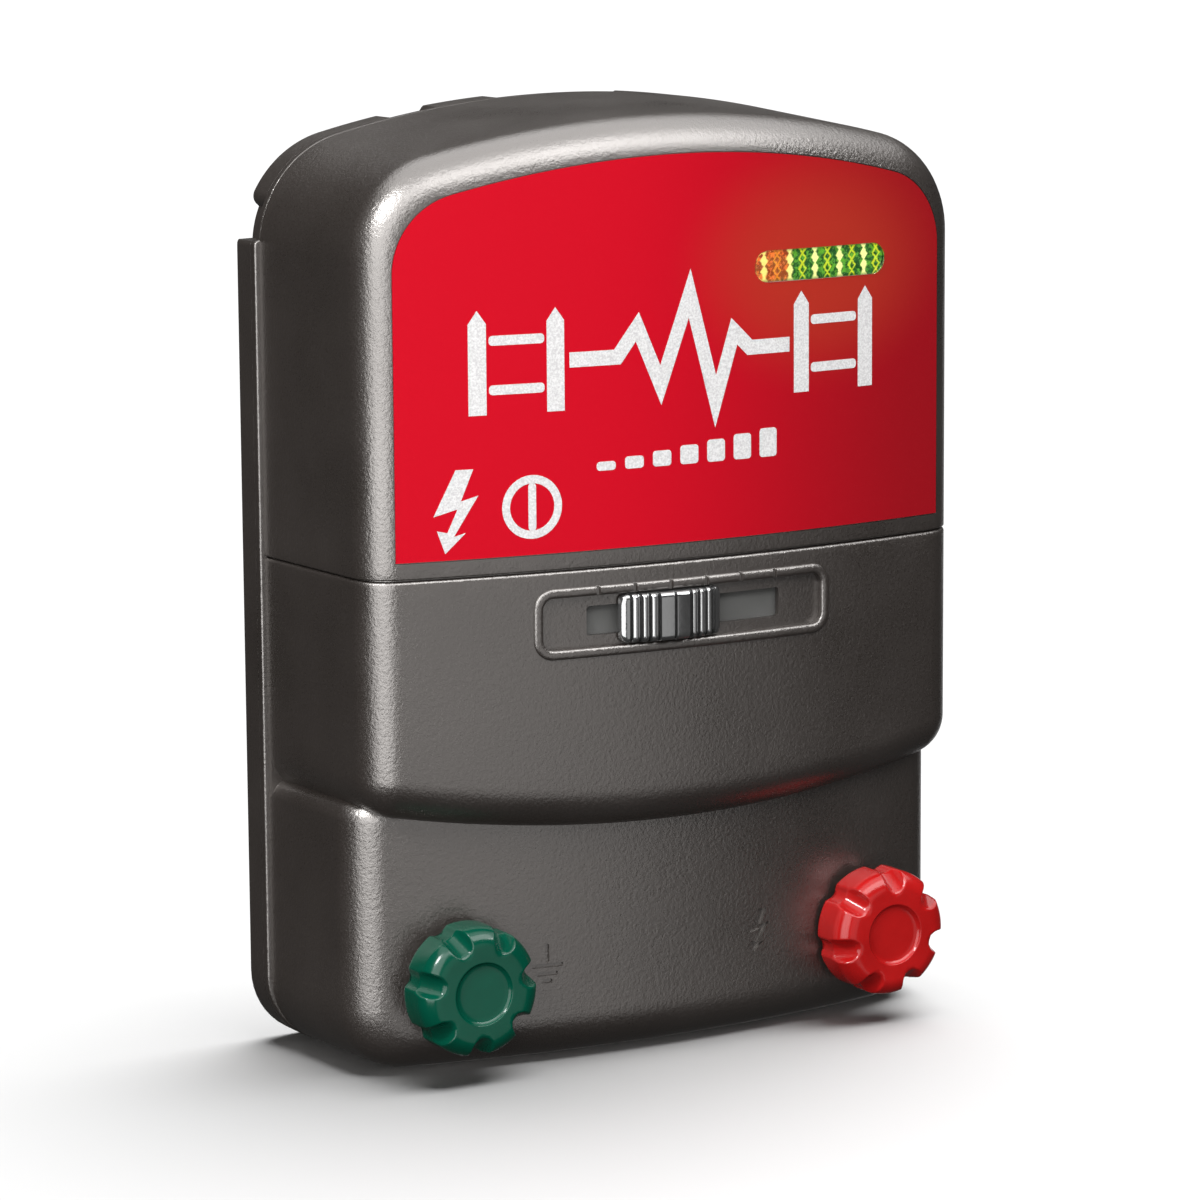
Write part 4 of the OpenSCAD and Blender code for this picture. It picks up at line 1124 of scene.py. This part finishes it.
# ---- rear case ----
def rear_outline():
    """Points of the rear case's outline with normals, and the height along each side."""
    bottom, corner_r = 1.5, 18.5
    straight, low = HALF - corner_r, bottom + corner_r
    right = [(x, bottom, 0.0, -1.0) for x in np.linspace(0, straight, 20)]
    for t in np.linspace(0, 1, 13)[1:]:
        a = -math.pi / 2 * (1 - t)
        right.append((straight + corner_r * math.cos(a), low + corner_r * math.sin(a),
                      math.cos(a), math.sin(a)))
    stops = list(np.linspace(low, LIP_TOP - 3, 20)[1:])
    stops += [LIP_TOP - d for d in (1.6, 1.1, 0.7, 0.4, 0.2, 0.05, 0.0)]
    cx = HALF - CORNER_R
    cz = ARCH_Z + math.sqrt((ARCH_R - CORNER_R) ** 2 - cx ** 2)
    stops = [z for z in stops if z < cz]
    right += [(HALF, z, 1.0, 0.0) for z in stops]
    lean = math.asin(cx / (ARCH_R - CORNER_R))
    for a in np.linspace(0, math.pi / 2 - lean, 90):
        right.append((cx + CORNER_R * math.cos(a), cz + CORNER_R * math.sin(a), math.cos(a), math.sin(a)))
    for t in np.linspace(0, 1, 260)[1:]:
        a = lean * (1 - t)
        right.append((ARCH_R * math.sin(a), ARCH_Z + ARCH_R * math.cos(a), math.sin(a), math.cos(a)))
    return half_to_loop(right)


def lip_offset(z, above):
    """How far the rear case stands off the outline: the lip below, its rounded end, then the value above."""
    if z <= LIP_TOP - LIP:
        return LIP
    if z <= LIP_TOP:
        return min(LIP, math.sqrt(max(0.0, LIP * LIP - (z - LIP_TOP + LIP) ** 2)))
    return above


def ear_offset(x, z):
    """Raised ears over the top corners and two more beside the middle, with ramps at their ends."""
    x, ramp = abs(x), 3.0
    corner_ear_from, corner_ear_low, middle_ear = 51.0, 231.6, (18.0, 42.5)
    if z < LIP_TOP:
        return lip_offset(z, -EAR_RISE)
    if x > 46:
        lower_end = min(1.0, max(0.0, (z - corner_ear_low) / ramp))
        inner_end = min(1.0, max(0.0, (x - corner_ear_from) / ramp))
        return -EAR_RISE + EAR_RISE * math.sqrt(1 - (1 - lower_end) ** 2) * inner_end
    share = min(1.0, max(0.0, (x - middle_ear[0]) / ramp), max(0.0, (middle_ear[1] - x) / ramp))
    return -EAR_RISE + EAR_RISE * share


def rear_case():
    outline = rear_outline()
    edge, fillet, back_edge = 0.7, 0.4, 1.2
    flange_y = Y_JOINT + 2.6

    def ring(y, offset_of, shrink):
        return [(x + nx * (offset_of(x, z) - shrink), y, z + nz * (offset_of(x, z) - shrink))
                for x, z, nx, nz in outline]

    def flange_offset(x, z):
        return lip_offset(z, 0.0)

    def rounded(y, radius, count, offset_of):
        """Rings that round an edge off, up to its full width at the depth y."""
        return [ring(y - radius * (1 - math.sin(a)), offset_of, radius * (1 - math.cos(a)))
                for a in np.linspace(0, math.pi / 2, count)]

    rings = [ring(Y_JOINT + edge * (1 - math.sin(a)), flange_offset, edge * (1 - math.cos(a)))
             for a in np.linspace(math.pi / 2, 0, 5)]
    rings += rounded(flange_y, fillet, 4, flange_offset)
    rings.append(ring(flange_y + 0.02, ear_offset, 0.0))
    rings += [ring(y, ear_offset, 0.0) for y in np.linspace(flange_y + 1, Y_REAR - 1.4, 3)]
    rings += rounded(Y_REAR, back_edge, 6, ear_offset)
    case = ring_mesh("rear_case_shell", rings)
    tray = arched_path(HALF - 6, ARCH_R - 6, CORNER_R - 6, 0.0, 30.0, 0.0)
    tray_loop = distinct([tuple(p) for p in tray[:, :2]])
    low_loop = rounded_rect(0, 67.5, 2 * HALF - 10, 126, FOOT_CORNER_R - 4, 12)
    boolean(case, [prism(loop, Y_JOINT - 1, Y_REAR - REAR_WALL) for loop in (tray_loop, low_loop)])
    screws = [(s * x, z) for s in (-1, 1) for x, z in SCREWS]
    inside = Y_REAR - 1.5
    posts = [rod_tool(x, z, 5.0, Y_JOINT + 0.05, inside) for x, z in screws]
    posts += [rod_tool(s * 66, z, 4.0, 24.0, inside) for s in (-1, 1) for z in (90, 226)]
    posts += [prism(rect_loop(s * KEYHOLE_X, 9, 181, 209), Y_REAR - 9.8, inside) for s in (-1, 1)]
    boolean(case, posts, "UNION")
    cuts = []
    for s in (-1, 1):
        for x, z in SCREWS:
            cuts.append(rod_tool(s * x, z, 2.3, Y_JOINT - 1, Y_REAR + 1))
            cuts.append(rod_tool(s * x, z, 4.1, Y_REAR - 3.4, Y_REAR + 1))
        cuts.append(prism(keyhole_loop(s * KEYHOLE_X), Y_REAR - 4, Y_REAR + 1))
        cuts.append(prism(rect_loop(s * KEYHOLE_X, 7.4, 182.6, 207.4), Y_REAR - 8.2, Y_REAR - REAR_WALL))
    boolean(case, cuts)
    case.name = "rear_case_shell"
    return finish_piece(case, CASE, "case", ["rear_case"])


def prism(loop, y_from, y_to):
    near = [(x, y_from, z) for x, z in loop]
    far = [(x, y_to, z) for x, z in loop]
    return ring_mesh("tool", [near, far])


def keyhole_loop(cx):
    entry, slot, rise = 5.0, 2.6, 10.0
    neck = math.degrees(math.asin(slot / entry))
    points = arc(cx, KEYHOLE_Z, entry, 90 + neck, 450 - neck, 40)
    points += arc(cx, KEYHOLE_Z + rise, slot, 0, 180, 16)
    return points


# ---- fasteners and inlet ----
def case_screws():
    """Pan-head screws with a cross recess, sunk in the rear case."""
    back, rim = Y_REAR - SCREW_DEPTH, SCREW_HEAD_R
    profile = [(0, 0), (1.6, 0.02), (2.8, 0.22), (3.5, 0.6), (rim, 1.15), (rim, 2.3), (3.65, 2.4),
               (1.95, 2.4), (1.95, 23), (0, 23.4)]
    long, short = 1.9, 0.42
    pieces = []
    for x, z in [(s * x, z) for s in (-1, 1) for x, z in SCREWS]:
        screw = revolve("screw", profile, (x, back, z), 48)
        boolean(screw, [box_tool((x - w, back - 1.3, z - h), (x + w, back + 1, z + h))
                        for w, h in ((long, short), (short, long))])
        pieces.append(screw)
    screws = joined("rear_case_screws", pieces)
    return finish_piece(screws, STEEL, "case", ["case_screws"])


def power_socket():
    body = [(3.2, 2.0), (3.2, 0.7), (3.5, 0.4), (7.6, 0.4), (8.0, 0.8), (8.0, 2.0), (6.0, 2.0), (6.0, 17.0),
            (3.2, 17.0)]
    floor = [(0, 11.0), (3.15, 11.0), (3.15, 16.9), (0, 16.9)]
    pin = [(0, 2.0), (0.6, 2.0), (0.95, 2.5), (0.95, 11.5), (0, 11.5)]
    socket = joined("power_socket_round", [revolve("socket", profile, (INLET_X, INLET_Y, 0), segments, "Z")
                                           for profile, segments in ((body, 72), (floor, 48), (pin, 32))])
    return finish_piece(socket, BLACK, "case", ["power_inlet"])


# ---- stage ----
def studio():
    reach = 40000
    corners = [(-reach, -reach, 0), (reach, -reach, 0), (reach, reach, 0), (-reach, reach, 0)]
    floor = new_object("floor", corners, [(0, 1, 2, 3)])
    floor.data.transform(Matrix.Scale(MM, 4))
    floor.data.materials.append(floor_material())
    floor.visible_glossy = False
    floor.visible_shadow = False
    world = bpy.data.worlds.new("studio")
    scene.world = world
    world.use_nodes = True
    background = world.node_tree.nodes["Background"]
    background.inputs["Color"].default_value = (1.0, 0.99, 0.98, 1)
    background.inputs["Strength"].default_value = 0.05
    overhead = sky_soft("overhead_soft", 4.5, (0.14, -0.08, 1.0), 95)
    floor_light = sky_soft("floor_soft", 4.9, (0.28, 0.14, 1.0), 60)
    floor_only = bpy.data.collections.new("lit_by_floor_soft")
    floor_only.objects.link(floor)
    floor_light.light_linking.receiver_collection = floor_only
    # the floor has a soft light of its own, so the other lights leave it out
    others = bpy.data.collections.new("all_but_floor")
    others.objects.link(floor)
    others.collection_objects[0].light_linking.link_state = "EXCLUDE"
    boxes = [softbox("wall_left", (-1.14, -0.97, 0.72), (-1.14, -0.97, 0.0), (1.3, 2.2), 44.0),
             softbox("roof_front", (0.3, -0.98, 1.3), (0.15, -0.9, 1.05), (1.7, 0.85), 26.0),
             softbox("front_low", (0.18, -1.5, -0.15), (0.12, -1.0, -0.12), (1.2, 1.2), 3.9),
             softbox("key_left", (-1.35, -0.5, 1.35), (-1.35, -0.5, 1.2), (0.3, 0.3), 30.0),
             softbox("key_right", (1.0, -1.15, 0.95), (0.7, -0.8, 0.6), (0.16, 0.16), 2.5),
             softbox("back_low", (1.1, 1.15, -0.3), (1.0, 1.0, -0.3), (1.1, 0.8), 1.7)]
    for box in boxes + [overhead]:
        box.light_linking.receiver_collection = others
    scene.view_settings.view_transform = "Standard"


def camera_view():
    """The photograph's viewing angle: a long lens from the left and a little above."""
    data = bpy.data.cameras.new("camera")
    data.lens = 146.05
    data.sensor_width = 36.0
    data.clip_end = 100.0
    camera = bpy.data.objects.new("camera", data)
    scene.collection.objects.link(camera)
    place = Vector((-0.6622, -1.1440, 0.3410))
    target = Vector((-0.00997, -0.005, 0.12172))
    forward = (target - place).normalized()
    right = forward.cross(Vector((0, 0, 1))).normalized()
    up = right.cross(forward)
    roll = math.radians(-0.403)
    side = right * math.cos(roll) + up * math.sin(roll)
    over = -right * math.sin(roll) + up * math.cos(roll)
    matrix = Matrix((side, over, -forward)).transposed().to_4x4()
    matrix.translation = place
    camera.matrix_world = matrix
    scene.camera = camera


def aimed(obj, place, target):
    obj.location = place
    obj.rotation_euler = (Vector(target) - Vector(place)).to_track_quat("-Z", "Y").to_euler()


def sky_soft(name, strength, direction, angle_deg):
    data = bpy.data.lights.new(name, "SUN")
    data.energy = strength
    data.angle = math.radians(angle_deg)
    light = bpy.data.objects.new(name, data)
    scene.collection.objects.link(light)
    aimed(light, direction, (0, 0, 0))
    return light


def softbox(name, place, facing, size, power):
    """Rectangular light at place; facing points from the object back towards it."""
    data = bpy.data.lights.new(name, "AREA")
    data.shape = "RECTANGLE"
    data.size, data.size_y = size
    data.energy = power
    light = bpy.data.objects.new(name, data)
    scene.collection.objects.link(light)
    aimed(light, place, Vector(place) - Vector(facing))
    return light


studio()
camera_view()
dress_cad_nodes()
upper_cover()
lower_cover()
label()
label_prints()
light_bar()
slider()
terminals()
rear_case()
case_screws()
power_socket()
